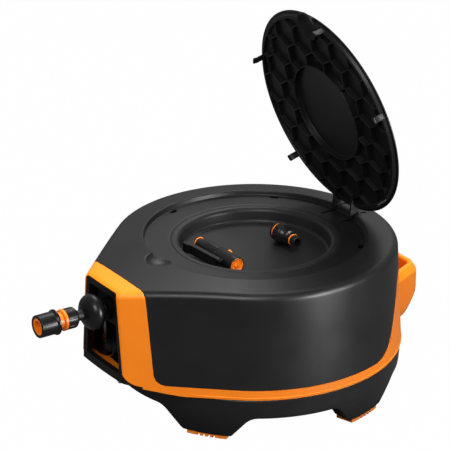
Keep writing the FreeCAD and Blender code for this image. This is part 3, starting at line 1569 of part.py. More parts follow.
def biarc(start, start_way, end, end_way):
    """Two arcs that leave and arrive along given directions."""
    chord = end - start
    both = start_way + end_way
    a = 2 - 2 * start_way.dot(end_way)
    b = 2 * chord.dot(both)
    c = -chord.dot(chord)
    reach = (-b + math.sqrt(b * b - 4 * a * c)) / (2 * a)
    near = start + start_way * reach
    far = end - end_way * reach
    join = (near + far) * 0.5
    edges = []
    for first, corner, last in ((start, near, join), (join, far, end)):
        back = (first - corner).normalize()
        on = (last - corner).normalize()
        half = back.getAngle(on) / 2
        radius = reach * math.tan(half)
        middle = corner + (back + on).normalize() * (radius / math.sin(half) - radius)
        edges.append(Part.Arc(first, middle, last).toShape())
    return edges


def leave_turn():
    """Plan angle where the hose leaves the winding for the guide."""
    return -90 + math.degrees(math.acos(num("winding_radius") / num("bend_corner_y")))


def hose_along(path, start, way, radius):
    """Round hose along a wire."""
    profile = Part.Wire(Part.makeCircle(radius, start, way))
    return Part.Wire(path).makePipeShell([profile], True, False)


def make_hose():
    keep("hose_core", turned_body("hose_core", tube_corners(
        D("drum_hub_radius") + D("press_gap"), D("core_outer"),
        D("drum_low_z") + D("drum_flange") + D("seat_gap"), D("drum_high_z") - D("seat_gap"))))
    exit_z = num("exit_z")
    radius = num("hose_radius")
    path, points, ways = winding_wire(exit_z)
    start = path.Edges[0].Vertexes[0].Point
    winding = hose_along(path, start, ways[0], radius)
    keep_shape("hose_winding", winding)
    samples = [edge.discretize(12) for edge in path.Edges[1:-1]]
    turn_points = [spot for run in samples for spot in run]
    gap = min(
        (a - b).Length
        for index, a in enumerate(turn_points)
        for b in turn_points[index + 60:]
    ) - 2 * radius
    length = path.Length
    print(f"winding: gap to itself {gap:.2f} mm, volume {winding.Volume:.0f}, "
          f"section times length {math.pi * radius ** 2 * length:.0f}")
    # lead from the winding, round one bend, straight through the guide and the ball stop
    corner = Vector(0, -num("bend_corner_y"), exit_z)
    leave = points[-1] + ways[-1] * (2 * radius + num("running_gap"))
    leave.z = exit_z
    way = Vector(corner - leave).normalize()
    out = Vector(0, -1, 0)
    half = (math.pi - way.getAngle(out)) / 2
    reach = num("bend_radius") / math.tan(half)
    middle_way = (out - way).normalize()
    middle = corner + middle_way * (num("bend_radius") / math.sin(half) - num("bend_radius"))
    end = Vector(0, -num("hose_lead_y"), exit_z)
    lead = [
        Part.makeLine(leave, corner - way * reach),
        Part.Arc(corner - way * reach, middle, corner + out * reach).toShape(),
        Part.makeLine(corner + out * reach, end),
    ]
    keep_shape("hose_lead", hose_along(lead, leave, way, radius))
    tail_start = D("hose_lead_y") + D("running_gap")
    tail = cylinder("hose_tail_rod", D("hose_radius"), D("hose_end_y") - tail_start,
                    0, -tail_start, D("exit_z"), TO_FRONT)
    bore = cylinder("hose_tail_bore", D("hose_bore"), D("hose_end_y"),
                    0, -D("hose_lead_y"), D("exit_z"), TO_FRONT)
    keep("hose_tail", cut("hose_tail_bored", tail, bore))


# Ratchet, pawl and level wind


def make_ratchet():
    teeth = int(num("ratchet_teeth"))
    root, tip = num("ratchet_root"), num("ratchet_tip")
    points = []
    for number in range(teeth):
        turn = 360 / teeth * number
        points += [polar(tip, turn), polar(root, turn + 1.0)]
    rim = Part.Wire(Part.makePolygon(points + points[:1]))
    bore = Part.Wire(Part.makeCircle(num("ratchet_bore")))
    low = num("drum_low_z") - num("ratchet_height")
    ring = Part.Face(rim).cut(Part.Face(bore)).extrude(Vector(0, 0, num("ratchet_height")))
    ring.translate(Vector(0, 0, low))
    keep_shape("ratchet_ring", ring)
    spot = pawl_spot()
    height = num("pawl_height")
    z = low + (num("ratchet_height") - height) / 2
    length = num("pawl_length")
    boss = num("pawl_boss")
    arm = Part.makeCylinder(boss, height, Vector())
    points = [
        Vector(-boss * 0.8, 0, 0), Vector(-boss * 0.4, length * 0.9, 0), Vector(0, length, 0),
        Vector(boss * 0.5, length * 0.8, 0), Vector(boss * 0.9, 0, 0),
    ]
    arm = arm.fuse(Part.Face(Part.makePolygon(points + points[:1])).extrude(Vector(0, 0, height)))
    bore = num("pawl_pin_radius") + num("shaft_fit")
    arm = drilled(arm, bore, Vector(0, 0, -1), Vector(0, 0, height + 1))
    pawl = keep_shape("pawl", arm.removeSplitter())
    pawl_way = Rotation(Vector(0, 0, 1), num("pawl_turn") + num("pawl_lean"))
    pawl.Placement = Placement(spot + Vector(0, 0, z), pawl_way)
    floor = num("body_low_z") + num("pan_floor")
    pin_top = low + num("ratchet_height") - num("running_gap")
    pin_foot = spot + Vector(0, 0, floor)
    keep_shape("pawl_pin", Part.makeCylinder(num("pawl_pin_radius"), pin_top - floor, pin_foot))


def make_gears():
    drum_turn, idler_turn, screw_turn = mesh_turns()
    fit = num("shaft_fit")
    bush_out = num("axle_radius") + fit + num("bush_wall")
    height = num("gear_height")
    low_height = height - num("gear_step")
    drum_bore = bush_out + num("bush_wall")
    idler_bore = num("idler_pin_radius") + fit
    screw_bore = num("lead_screw_end") + num("press_gap")
    keep_shape("drum_gear", gear_solid(num("drum_teeth"), drum_bore, drum_turn, Vector(), height))
    idler = gear_solid(num("idler_teeth"), idler_bore, idler_turn, idler_spot(), low_height)
    keep_shape("idler_gear", idler)
    driven = gear_solid(num("screw_teeth"), screw_bore, screw_turn, screw_spot(), low_height)
    keep_shape("screw_gear", driven)
    floor = num("body_low_z") + num("pan_floor")
    top = gear_low_z() + low_height
    pin_foot = idler_spot() + Vector(0, 0, floor)
    keep_shape("idler_pin", Part.makeCylinder(num("idler_pin_radius"), top - floor, pin_foot))


def make_level_wind():
    floor = D("body_low_z") + D("pan_floor")
    gear_top = D("drum_low_z") - D("ratchet_height") - D("gear_step")
    high = D("rod_high_z")
    screw = turned_body("lead_screw", [
        (0, floor),
        (D("lead_screw_end"), floor),
        (D("lead_screw_end"), gear_top),
        (D("lead_screw_radius"), gear_top),
        (D("lead_screw_radius"), high - D("rod_boss_high") - D("running_gap")),
        (D("lead_screw_end"), high - D("rod_boss_high") - D("running_gap")),
        (D("lead_screw_end"), high),
        (0, high),
    ])
    keep("lead_screw", place(screw, -D("screw_x"), -D("screw_y"), 0))
    rods = []
    for side in (-1, 1):
        foot = Vector(side * num("rod_x"), -num("rod_y"), num("rod_low_z"))
        rods.append(Part.makeCylinder(num("rod_radius"), num("rod_high_z") - num("rod_low_z"), foot))
    keep_shape("guide_rods", Part.makeCompound(rods))
    make_carriage()


def make_carriage():
    z = D("exit_z")
    half_height = D("carriage_height") / 2
    front = box("carriage_front_block", (-D("carriage_half"), -D("carriage_front"), z - half_height),
                (D("carriage_half"), -D("carriage_back"), z + half_height))
    bridge = box("carriage_bridge", (-D("bridge_half"), -D("carriage_back"), z - D("bridge_height") / 2),
                 (D("bridge_half"), -D("bridge_back"), z + D("bridge_height") / 2))
    nut = cylinder("carriage_nut", D("nut_radius"), D("bridge_height"),
                   -D("screw_x"), -D("screw_y"), z - D("bridge_height") / 2)
    ring = cylinder("carriage_mouth", D("mouth_ring_radius"), D("mouth_ring_front") - D("carriage_back"),
                    0, -D("carriage_back"), z, TO_FRONT)
    eye = cylinder("carriage_eye", D("eye_radius"), D("mouth_ring_front"),
                   0, -D("bridge_back") + D("nut_radius") * 2, z, TO_FRONT)
    throat = cylinder("carriage_throat", D("eye_radius") + D("roller_radius"), D("carriage_back"),
                      0, 0, z, TO_FRONT)
    tools = [eye, throat]
    for name, side in (("left", -1), ("right", 1)):
        tools.append(cylinder(
            f"carriage_rod_bore_{name}", D("rod_radius") + D("shaft_fit"), D("carriage_height") * 2,
            D("rod_x") * side, -D("rod_y"), z - D("carriage_height")))
    tools.append(cylinder(
        "carriage_nut_bore", D("lead_screw_radius") + D("seat_gap"), D("carriage_height") * 2,
        -D("screw_x"), -D("screw_y"), z - D("carriage_height")))
    gap = D("running_gap")
    pin_gap = D("roller_radius") + D("eye_radius")
    for name, side in (("low", -1), ("high", 1)):
        bay_half = D("roller_half") + gap
        tools.append(cylinder(f"carriage_roller_bay_{name}", D("roller_radius") + gap, bay_half * 2,
                              -bay_half, -D("roller_y"), z + pin_gap * side, TO_RIGHT))
        low_z = z - D("carriage_height") if side < 0 else z + pin_gap
        high_z = z - pin_gap if side < 0 else z + D("carriage_height")
        bay_back = -D("roller_y") + D("roller_radius") + gap
        bay_front = -D("roller_y") - D("roller_radius") - gap
        tools.append(box(f"carriage_bay_door_{name}", (-(D("roller_half") + gap), bay_front, low_z),
                         (D("roller_half") + gap, bay_back, high_z)))
        tools.append(cylinder(f"carriage_pin_bore_{name}", D("roller_pin_radius") + D("press_gap"),
                              D("carriage_half") * 4, -D("carriage_half") * 2, -D("roller_y"),
                              z + pin_gap * side, TO_RIGHT))
    keep("carriage", cut("carriage_cut", fused("carriage_joined", front, bridge, nut, ring), *tools))
    for label, side in (("lower_roller", -1), ("upper_roller", 1)):
        bore = D("roller_pin_radius") + D("shaft_fit")
        corners = tube_corners(bore, D("roller_radius"), -D("roller_half"), D("roller_half"))
        roller = turned_body(label, corners)
        keep(label, place(roller, 0, -D("roller_y"), z + pin_gap * side, TO_RIGHT))
    pins = []
    for side in (-1, 1):
        middle = num("exit_z") + pin_gap.value * side
        start = Vector(-num("carriage_half"), -num("roller_y"), middle)
        long = 2 * num("carriage_half")
        pins.append(Part.makeCylinder(num("roller_pin_radius"), long, start, Vector(1, 0, 0)))
    keep_shape("roller_pins", Part.makeCompound(pins))


# Hose end: ball stop and quick connector


def make_ball():
    ball = doc.addObject("Part::Ellipsoid", "ball_form")
    bind(ball, "Radius1", D("ball_half_length"))
    bind(ball, "Radius2", D("ball_radius"))
    bind(ball, "Radius3", D("ball_radius"))
    ball.Angle1 = -90
    ball.Angle2 = 90
    ball.Angle3 = 360
    place(ball, 0, -D("ball_y"), D("exit_z"), TO_FRONT)
    bore = cylinder("ball_bore", D("hose_radius") + D("ball_grip"), D("ball_half_length") * 4, 0,
                    -D("ball_y") + D("ball_half_length") * 2, D("exit_z"), TO_FRONT)
    keep("ball_stop", cut("ball_bored", ball, bore))


def on_hose(body, label):
    return keep(label, place(body, 0, -D("connector_y"), D("exit_z"), TO_FRONT))


def make_connector():
    """Hose connector: ribbed clamp nut, ring, socket body and a sprung, flared release sleeve."""
    grip = D("hose_radius") + D("ball_grip")
    nut_end = D("clamp_nut_length")
    ring_end = nut_end + D("ring_length")
    body_end = ring_end + D("body_length")
    hose_end = D("hose_end_y") - D("connector_y")
    nut = turned_body("connector_nut", [
        (grip, 0),
        (D("clamp_nut_lip"), 0),
        (D("clamp_nut_radius"), D("clamp_nut_radius") - D("clamp_nut_lip")),
        (D("clamp_nut_radius"), nut_end),
        (grip, nut_end),
    ])
    groove_sketch = sketch_on(nut, "XY_Plane", [
        (D("clamp_nut_radius") - D("ball_grip") * 8, -D("ball_grip") * 8),
        (D("clamp_nut_radius") * 2, -D("ball_grip") * 8),
        (D("clamp_nut_radius") * 2, D("ball_grip") * 8),
        (D("clamp_nut_radius") - D("ball_grip") * 8, D("ball_grip") * 8),
    ], "nut_groove")
    groove = nut.newObject("PartDesign::Pocket", "nut_groove_cut")
    groove.Profile = groove_sketch
    bind(groove, "Length", nut_end - D("ring_length") / 2)
    groove.Reversed = True
    doc.recompute()
    pattern = nut.newObject("PartDesign::PolarPattern", "nut_grooves")
    pattern.Originals = [groove]
    axis = [item for item in nut.Origin.OriginFeatures if item.Role == "Z_Axis"][0]
    pattern.Axis = (axis, [""])
    pattern.Angle = 360
    bind(pattern, "Occurrences", D("clamp_ribs"))
    nut.Tip = pattern
    on_hose(nut, "connector_nut")
    on_hose(turned_body("connector_ring", tube_corners(
        D("ring_core"), D("ring_radius"), nut_end, ring_end)), "connector_ring")
    on_hose(turned_body("connector_body", [
        (grip, nut_end),
        (D("ring_core") - D("ball_grip"), nut_end),
        (D("ring_core") - D("ball_grip"), ring_end),
        (D("body_radius"), ring_end),
        (D("body_radius"), body_end),
        (D("socket_radius"), body_end),
        (D("socket_radius"), body_end - D("socket_depth")),
        (D("hose_bore"), body_end - D("socket_depth")),
        (D("hose_bore"), hose_end),
        (grip, hose_end),
    ]), "connector_body")
    start = ring_end + D("sleeve_travel") + D("running_gap")
    sleeve_bore = D("body_radius") + D("sleeve_fit")
    on_hose(turned_body("release_sleeve", [
        (sleeve_bore, start),
        (D("flare_radius"), start),
        (D("flare_radius"), start + D("flare_length") / 2),
        (D("sleeve_radius"), start + D("flare_length")),
        (D("sleeve_radius"), start + D("sleeve_length")),
        (sleeve_bore, start + D("sleeve_length")),
    ]), "release_sleeve")


# Spray nozzle and tap connector, lying loose in the tray


def make_nozzle():
    y = D("nozzle_y")
    z = D("tray_floor_z") + D("loose_gap") + D("nozzle_radius")
    tail = D("nozzle_tail_x")
    tip = D("nozzle_tip_x")
    wire = D("seal_wire")
    seal_at = tail - D("nozzle_tail_length") * 0.7
    body = turned_body("nozzle_body", [
        (0, tail - D("nozzle_tail_length")),
        (D("nozzle_tail_radius"), tail - D("nozzle_tail_length")),
        (D("nozzle_tail_radius"), seal_at - wire),
        (D("nozzle_tail_radius") - wire, seal_at - wire),
        (D("nozzle_tail_radius") - wire, seal_at + wire),
        (D("nozzle_tail_radius"), seal_at + wire),
        (D("nozzle_tail_radius"), tail),
        (D("nozzle_radius") - wire, tail),
        (D("nozzle_radius"), tail + wire),
        (D("nozzle_radius"), tip),
        (D("nozzle_face_radius") + D("press_gap"), tip),
        (D("nozzle_face_radius") + D("press_gap"), tip - D("nozzle_face_depth")),
        (0, tip - D("nozzle_face_depth")),
    ])
    pivot = (D("lever_x"), -(D("nozzle_radius") + D("lever_gap") + D("lever_thick") / 2))
    lug = box("nozzle_lug", (D("lever_x") - D("lever_thick") / 2, y + pivot[1], z - D("lever_height") / 4),
              (D("lever_x") + D("lever_thick") / 2, y - D("nozzle_radius") / 2, z + D("lever_height") / 4))
    lug_end = cylinder("nozzle_lug_end", D("lever_thick") / 2, D("lever_height") / 2,
                       D("lever_x"), y + pivot[1], z - D("lever_height") / 4)
    pin = cylinder("nozzle_lever_pin", D("roller_pin_radius"), D("lever_height"),
                   D("lever_x"), y + pivot[1], z - D("lever_height") / 2)
    knob_bore = cylinder("nozzle_knob_bore", D("knob_radius") / 2 + D("press_gap"), D("nozzle_radius"),
                         D("knob_x"), y + D("nozzle_radius") + D("loose_gap"), z, TO_FRONT)
    place(body, 0, y, z, TO_RIGHT)
    keep("nozzle_body", cut("nozzle_bored", fused("nozzle_joined", body, lug, lug_end, pin), knob_bore))
    seal = ring_torus("nozzle_seal", D("nozzle_tail_radius"), wire * 0.9)
    keep("nozzle_seal", place(seal, seal_at, y, z, TO_RIGHT))
    face = turned_body("nozzle_face", [
        (0, -D("nozzle_face_depth")),
        (D("nozzle_face_radius"), -D("nozzle_face_depth")),
        (D("nozzle_face_radius"), 0),
        (D("nozzle_face_radius") - wire, 0),
        (D("nozzle_face_radius") / 2.5, -D("nozzle_face_depth") * 0.6),
        (wire * 1.5, -wire / 2),
        (0, -wire / 2),
    ])
    keep("nozzle_face", place(face, tip, y, z, TO_RIGHT))
    knob = turned_body("nozzle_knob", [
        (0, -D("knob_length")),
        (D("knob_radius") / 2, -D("knob_length")),
        (D("knob_radius") / 2, 0),
        (D("knob_radius"), 0),
        (D("knob_radius"), D("knob_length") - wire),
        (D("knob_radius") - wire, D("knob_length")),
        (0, D("knob_length")),
    ])
    keep("nozzle_knob", place(knob, D("knob_x"), y + D("nozzle_radius") + D("loose_gap"), z,
                              Rotation(Vector(1, 0, 0), -90)))
    make_lever(y, z, pivot)


def ring_torus(name, major, minor):
    ring = doc.addObject("Part::Torus", name)
    bind(ring, "Radius1", major)
    bind(ring, "Radius2", minor)
    return ring


def make_lever(y, z, pivot):
    """Squeeze lever beside the nozzle, hooked outwards at its free end."""
    thick = D("lever_thick")
    long = D("lever_length")
    rise = D("lever_rise")
    body = padded_body("nozzle_lever", [
        (thick / 2, -thick / 2),
        (thick / 2, thick / 2),
        (-thick, thick / 2),
        (-long, thick / 2 - rise),
        (-long, -thick - rise),
        (-(long - thick * 1.6), -thick - rise),
        (-(long - thick * 2.4), -thick / 2 - rise),
        (-thick, -thick / 2),
    ], D("lever_height"))
    place(body, D("lever_x"), y + pivot[1], z - D("lever_height") / 2)
    half_gap = D("lever_height") / 4 + D("loose_gap")
    notch = box("lever_notch", (D("lever_x") - thick, y + pivot[1] - thick, z - half_gap),
                (D("lever_x") + thick, y + pivot[1] + thick, z + half_gap))
    hole = cylinder("lever_pin_bore", D("roller_pin_radius") + D("shaft_fit"), D("lever_height") * 2,
                    D("lever_x"), y + pivot[1], z - D("lever_height"))
    keep("nozzle_lever", cut("lever_cut", body, notch, hole))


def make_tap_connector():
    z = D("tray_floor_z") + D("loose_gap") + D("tap_wide_radius")
    wide = D("tap_wide_length")
    taper = wide + D("tap_taper")
    end = taper + D("tap_nipple_length") - D("tap_taper")
    wire = D("seal_wire")
    ring_low = D("tap_ring_width")
    ring_high = ring_low * 2
    seal_at = end - wire * 4
    body = turned_body("tap_body", [
        (D("tap_thread_radius"), 0),
        (D("tap_wide_radius") - wire, 0),
        (D("tap_wide_radius"), wire),
        (D("tap_wide_radius"), ring_low),
        (D("tap_wide_radius") - wire, ring_low),
        (D("tap_wide_radius") - wire, ring_high),
        (D("tap_wide_radius"), ring_high),
        (D("tap_wide_radius"), wide),
        (D("tap_nipple_radius"), taper),
        (D("tap_nipple_radius"), seal_at - wire),
        (D("tap_nipple_radius") - wire, seal_at - wire),
        (D("tap_nipple_radius") - wire, seal_at + wire),
        (D("tap_nipple_radius"), seal_at + wire),
        (D("tap_nipple_radius"), end),
        (D("hose_bore"), end),
        (D("hose_bore"), D("tap_thread_depth")),
        (D("tap_thread_radius"), D("tap_thread_depth")),
    ])
    keep("tap_body", place(body, D("tap_x"), D("tap_y"), z, TO_RIGHT))
    ring = turned_body("tap_ring", tube_corners(
        D("tap_wide_radius") - wire + D("press_gap"), D("tap_wide_radius") + D("press_gap"),
        ring_low + D("press_gap"), ring_high - D("press_gap")))
    keep("tap_ring", place(ring, D("tap_x"), D("tap_y"), z, TO_RIGHT))
    seal = ring_torus("tap_seal", D("tap_nipple_radius"), wire * 0.9)
    keep("tap_seal", place(seal, D("tap_x") + seal_at, D("tap_y"), z, TO_RIGHT))


make_base_ring()
make_foot_pads()
make_swivel()
make_housing()
make_lid()
make_hinge_pin()
make_axle()
make_inlet()
make_drum()
make_spring()
make_water_swivel()
make_hose()
make_ratchet()
make_gears()
make_level_wind()
make_ball()
make_connector()
make_nozzle()
make_tap_connector()
doc.recompute()

for item in doc.Objects:
    if "Invalid" in item.State or "Error" in item.State:
        raise RuntimeError(f"{item.Name} did not build")
os.makedirs("parts", exist_ok=True)
for label, item in parts.items():
    shape = item.Shape
    if shape.isNull() or not shape.isValid() or not shape.Solids:
        raise RuntimeError(f"{label} has no valid solid")
    shape.exportStep(f"parts/{label}.step")
print(f"{len(parts)} sub-parts written")
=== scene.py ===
import math
import bmesh
import bpy
import numpy as np
from mathutils import Matrix


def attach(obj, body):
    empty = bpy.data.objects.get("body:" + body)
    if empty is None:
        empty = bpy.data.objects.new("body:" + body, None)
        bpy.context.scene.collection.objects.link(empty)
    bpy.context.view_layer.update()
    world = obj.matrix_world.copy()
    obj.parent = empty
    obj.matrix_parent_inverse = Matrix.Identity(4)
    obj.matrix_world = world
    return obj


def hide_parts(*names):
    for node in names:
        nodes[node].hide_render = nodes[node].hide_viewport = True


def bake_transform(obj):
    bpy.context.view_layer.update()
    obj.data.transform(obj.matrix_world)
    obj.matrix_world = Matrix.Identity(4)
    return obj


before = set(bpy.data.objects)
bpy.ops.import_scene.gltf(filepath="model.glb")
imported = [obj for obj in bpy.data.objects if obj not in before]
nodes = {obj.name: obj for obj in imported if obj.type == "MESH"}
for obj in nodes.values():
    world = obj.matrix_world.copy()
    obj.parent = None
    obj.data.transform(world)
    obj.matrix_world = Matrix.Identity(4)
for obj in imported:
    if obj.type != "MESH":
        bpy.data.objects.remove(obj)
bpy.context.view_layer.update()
scene = bpy.context.scene
print("frame loaded:", len(nodes), "nodes")

# camera at the photograph's angle, for a square picture of 450 x 450
cameraSetup = {
    "place": (2.66167, -1.82134, 1.61177),
    "aim": (-0.0450, -0.0188, 0.2169),
    "lens": 208.0,
    "sensor": 36.0,
    "clipEnd": 50.0,
}


def aimedMatrix(place, aim):  # -Z runs from the place to the aim, X stays level
    back = np.array(place) - np.array(aim)
    back /= np.linalg.norm(back)
    right = np.cross((0.0, 0.0, 1.0), back)
    right /= np.linalg.norm(right)
    turn = np.eye(4)
    turn[:3] = np.stack([right, np.cross(back, right), back, place], -1)
    return Matrix(turn.tolist())


def makeCamera(setup):  # perspective, no depth of field
    data = bpy.data.cameras.new("photoCamera")
    data.lens = setup["lens"]
    data.sensor_width = setup["sensor"]
    data.sensor_fit = "AUTO"
    data.clip_end = setup["clipEnd"]
    data.dof.use_dof = False
    camera = bpy.data.objects.new("photoCamera", data)
    scene.collection.objects.link(camera)
    camera.matrix_world = aimedMatrix(setup["place"], setup["aim"])
    scene.camera = camera


makeCamera(cameraSetup)
scene.view_settings.view_transform = "Standard"

# light and floor; a lamp with "unseen" is left out of mirroring or of plain colour
lightSetup = {
    "lamps": {
        "key": {"place": (2.0, -2.0, 2.5), "size": 1.5, "power": 60.0},
        "back": {"place": (-1.3, 1.3, 2.6), "size": 1.8, "power": 25.0},
        "rightSide": {"place": (2.3, 1.1, 0.75), "size": 0.7, "power": 36.0},
        "front": {"place": (-0.4, -2.9, 0.9), "size": 1.3, "power": 22.0, "unseen": "visible_glossy"},
        "sideBox": {"place": (1.12, 0.24, 0.22), "size": 0.24, "power": 8.0, "unseen": "visible_diffuse"},
        "topFill": {"place": (0.2, 0.2, 2.6), "size": 1.6, "power": 88.0, "unseen": "visible_glossy"},
    },
    "aim": (0.0, 0.0, 0.15),
    "worldLevels": (0.05, 0.27),  # in front, where the walls are mirrored, and behind, where the top is
    "worldBehind": (-0.75, 0.52, 0.41),
    "worldSpan": (-0.1, 0.95),  # how far to the back a ray runs where the level starts and ends to rise
    "floorHalf": 12.0,
    "floorGrey": 0.1,
    "floorGlow": 0.994,  # share of plain white that the camera sees on the floor
}
white = (1, 1, 1, 1)


def freshTree(owner):  # empty node tree of a world or a material
    owner.use_nodes = True
    owner.node_tree.nodes.clear()
    return owner.node_tree


def addNode(tree, kind, inputs=(), **settings):  # an input is a value or a (node, output) link
    node = tree.nodes.new(kind)
    for name, value in settings.items():
        setattr(node, name, value)
    for place, value in dict(inputs).items():
        if isinstance(value, tuple) and isinstance(value[0], bpy.types.Node):
            tree.links.new(value[0].outputs[value[1]], node.inputs[place])
        else:
            node.inputs[place].default_value = value
    return node


def makeLights(setup):  # round area lamps, all aimed at one spot
    for name, values in setup["lamps"].items():
        data = bpy.data.lights.new(name, "AREA")
        data.shape = "DISK"
        data.size = values["size"]
        data.energy = values["power"]
        lamp = bpy.data.objects.new(name, data)
        scene.collection.objects.link(lamp)
        if "unseen" in values:
            setattr(lamp, values["unseen"], False)
        lamp.matrix_world = aimedMatrix(values["place"], setup["aim"])


def makeWorld(setup):  # white to the camera, to other rays a level that rises smoothly towards the back
    world = bpy.data.worlds.new("studio")
    scene.world = world
    tree = freshTree(world)
    path = addNode(tree, "ShaderNodeLightPath")
    seen = addNode(tree, "ShaderNodeMath", {0: (path, "Is Camera Ray"), 1: (path, "Is Transmission Ray")},
                   operation="MAXIMUM")
    place = addNode(tree, "ShaderNodeTexCoord")
    facing = addNode(tree, "ShaderNodeVectorMath", {0: (place, "Generated"), 1: setup["worldBehind"]},
                     operation="DOT_PRODUCT")
    (start, end), (low, high) = setup["worldSpan"], setup["worldLevels"]
    level = addNode(tree, "ShaderNodeMapRange", {
        "Value": (facing, "Value"), "From Min": start, "From Max": end, "To Min": low, "To Max": high,
    }, interpolation_type="SMOOTHSTEP")
    plain = addNode(tree, "ShaderNodeBackground", {"Color": white, "Strength": 1.0})
    soft = addNode(tree, "ShaderNodeBackground", {"Color": white, "Strength": (level, "Result")})
    mix = addNode(tree, "ShaderNodeMixShader", {0: (seen, 0), 1: (soft, 0), 2: (plain, 0)})
    addNode(tree, "ShaderNodeOutputWorld", {"Surface": (mix, 0)})


def makeFloor(setup):  # matt grey that glows white to the camera only
    half, level = setup["floorHalf"], setup["floorGrey"]
    mesh = bpy.data.meshes.new("floor")
    corners = [(-half, -half, 0), (half, -half, 0), (half, half, 0), (-half, half, 0)]
    mesh.from_pydata(corners, [], [(0, 1, 2, 3)])
    floor = bpy.data.objects.new("floor", mesh)
    scene.collection.objects.link(floor)
    material = bpy.data.materials.new("paleFloor")
    tree = freshTree(material)
    path = addNode(tree, "ShaderNodeLightPath")
    share = addNode(tree, "ShaderNodeMath", {0: (path, "Is Camera Ray"), 1: setup["floorGlow"]},
                    operation="MULTIPLY")
    matt = addNode(tree, "ShaderNodeBsdfDiffuse", {"Color": (level, level, level, 1)})
    glow = addNode(tree, "ShaderNodeEmission", {"Color": white, "Strength": 1.0})
    mix = addNode(tree, "ShaderNodeMixShader", {0: (share, 0), 1: (matt, 0), 2: (glow, 0)})
    addNode(tree, "ShaderNodeOutputMaterial", {"Surface": (mix, 0)})
    mesh.materials.append(material)


makeLights(lightSetup)
makeWorld(lightSetup)
makeFloor(lightSetup)
print("camera, lights and floor set")

# finishes: one group gives the moulded grain, its roughness and a slow cloud of tone
grainSetup = {"cloudScale": 14.0, "grainShare": 0.35, "span": (0.45, 0.9), "toneSpan": (0.3, 0.7),
              "bump": 0.6}


def makeGrainGroup(setup):  # roughness is cloud + share x grain, spread from its low to its high value
    group = bpy.data.node_groups.new("mouldGrain", "ShaderNodeTree")
    sockets = {"INPUT": ("Grain Scale", "Rough Low", "Rough High"),
               "OUTPUT": ("Height", "Roughness", "Cloud")}
    for way, names in sockets.items():
        for name in names:
            group.interface.new_socket(name=name, in_out=way, socket_type="NodeSocketFloat")
    source = addNode(group, "NodeGroupInput")
    place = addNode(group, "ShaderNodeTexCoord")
    where = {"Vector": (place, "Object")}
    grain = addNode(group, "ShaderNodeTexNoise",
                    {**where, "Scale": (source, "Grain Scale"), "Detail": 3.0, "Roughness": 0.6})
    cloud = addNode(group, "ShaderNodeTexNoise",
                    {**where, "Scale": setup["cloudScale"], "Detail": 4.0, "Roughness": 0.55})
    both = addNode(group, "ShaderNodeMath", {0: (grain, "Fac"), 1: setup["grainShare"], 2: (cloud, "Fac")},
                   operation="MULTIPLY_ADD")
    start, end = setup["span"]
    spread = addNode(group, "ShaderNodeMapRange", {
        "Value": (both, 0), "From Min": start, "From Max": end,
        "To Min": (source, "Rough Low"), "To Max": (source, "Rough High")})
    addNode(group, "NodeGroupOutput", {"Height": (grain, "Fac"), "Roughness": (spread, "Result"),
                                       "Cloud": (cloud, "Fac")})
    return group


grainGroup = makeGrainGroup(grainSetup)

# dark tone, light tone, low and high roughness, grain scale, bump height, specular, and 1.0 for metal
finishes = {
    "shellBlack": ((0.005, 0.005, 0.0052), (0.0075, 0.0075, 0.0077), (0.35, 0.46), 1100.0, 4e-5, 0.5),
    "bezelBlack": ((0.003, 0.003, 0.0032), (0.0045, 0.0045, 0.0047), (0.48, 0.6), 1100.0, 3e-5, 0.3),
    # the carriage's black is much darker than the shell's black: painted shade for the carriage deep inside
    # the mouth
    "carriagePaintedShadeBlack": ((0.0014, 0.0014, 0.0015), (0.0022, 0.0022, 0.0023), (0.45, 0.56), 1100.0, 2e-5, 0.16),
    # the lid's black is darker than the shell's black: painted shade, matching the lid's shaded underside
    "lidBlackPaintedShade": ((0.0035, 0.0035, 0.0038), (0.0055, 0.0055, 0.0058), (0.36, 0.5), 900.0, 3e-5, 0.4),
    # the tray's black is lighter than the shell's black: painted light on the tray floor
    "trayBlackPaintedLight": ((0.0095, 0.0095, 0.0098), (0.0135, 0.0135, 0.0139), (0.38, 0.5), 1200.0, 4e-5, 0.4),
    "fittingBlack": ((0.0055, 0.0055, 0.0058), (0.0085, 0.0085, 0.0088), (0.27, 0.36), 1500.0, 4e-6, 0.38),
    "bandOrange": ((0.95, 0.225, 0.006), (1.0, 0.255, 0.009), (0.34, 0.44), 1000.0, 2e-5, 0.42),
    "ringOrange": ((0.95, 0.19, 0.006), (1.0, 0.23, 0.01), (0.3, 0.4), 1500.0, 6e-6, 0.4),
    "padOrange": ((0.85, 0.2, 0.012), (0.98, 0.26, 0.02), (0.55, 0.72), 700.0, 5e-5, 0.3),
    "hoseBlack": ((0.008, 0.008, 0.008), (0.014, 0.014, 0.0145), (0.45, 0.6), 800.0, 5e-5, 0.4),
    "sealBlack": ((0.01, 0.01, 0.01), (0.016, 0.016, 0.016), (0.5, 0.65), 900.0, 3e-5, 0.35),
    "nylonWhite": ((0.58, 0.57, 0.53), (0.7, 0.69, 0.65), (0.38, 0.5), 600.0, 2e-5, 0.4),
    "drumGrey": ((0.016, 0.016, 0.017), (0.024, 0.024, 0.025), (0.45, 0.58), 800.0, 4e-5, 0.4),
    "darkSteel": ((0.07, 0.07, 0.072), (0.1, 0.1, 0.102), (0.3, 0.42), 1600.0, 1e-5, 0.5, 1.0),
    "pinSteel": ((0.5, 0.5, 0.5), (0.62, 0.62, 0.62), (0.24, 0.38), 1600.0, 1e-5, 0.5, 1.0),
    "castBrass": ((0.55, 0.36, 0.12), (0.7, 0.5, 0.2), (0.28, 0.42), 1200.0, 1.5e-5, 0.5, 1.0),
}


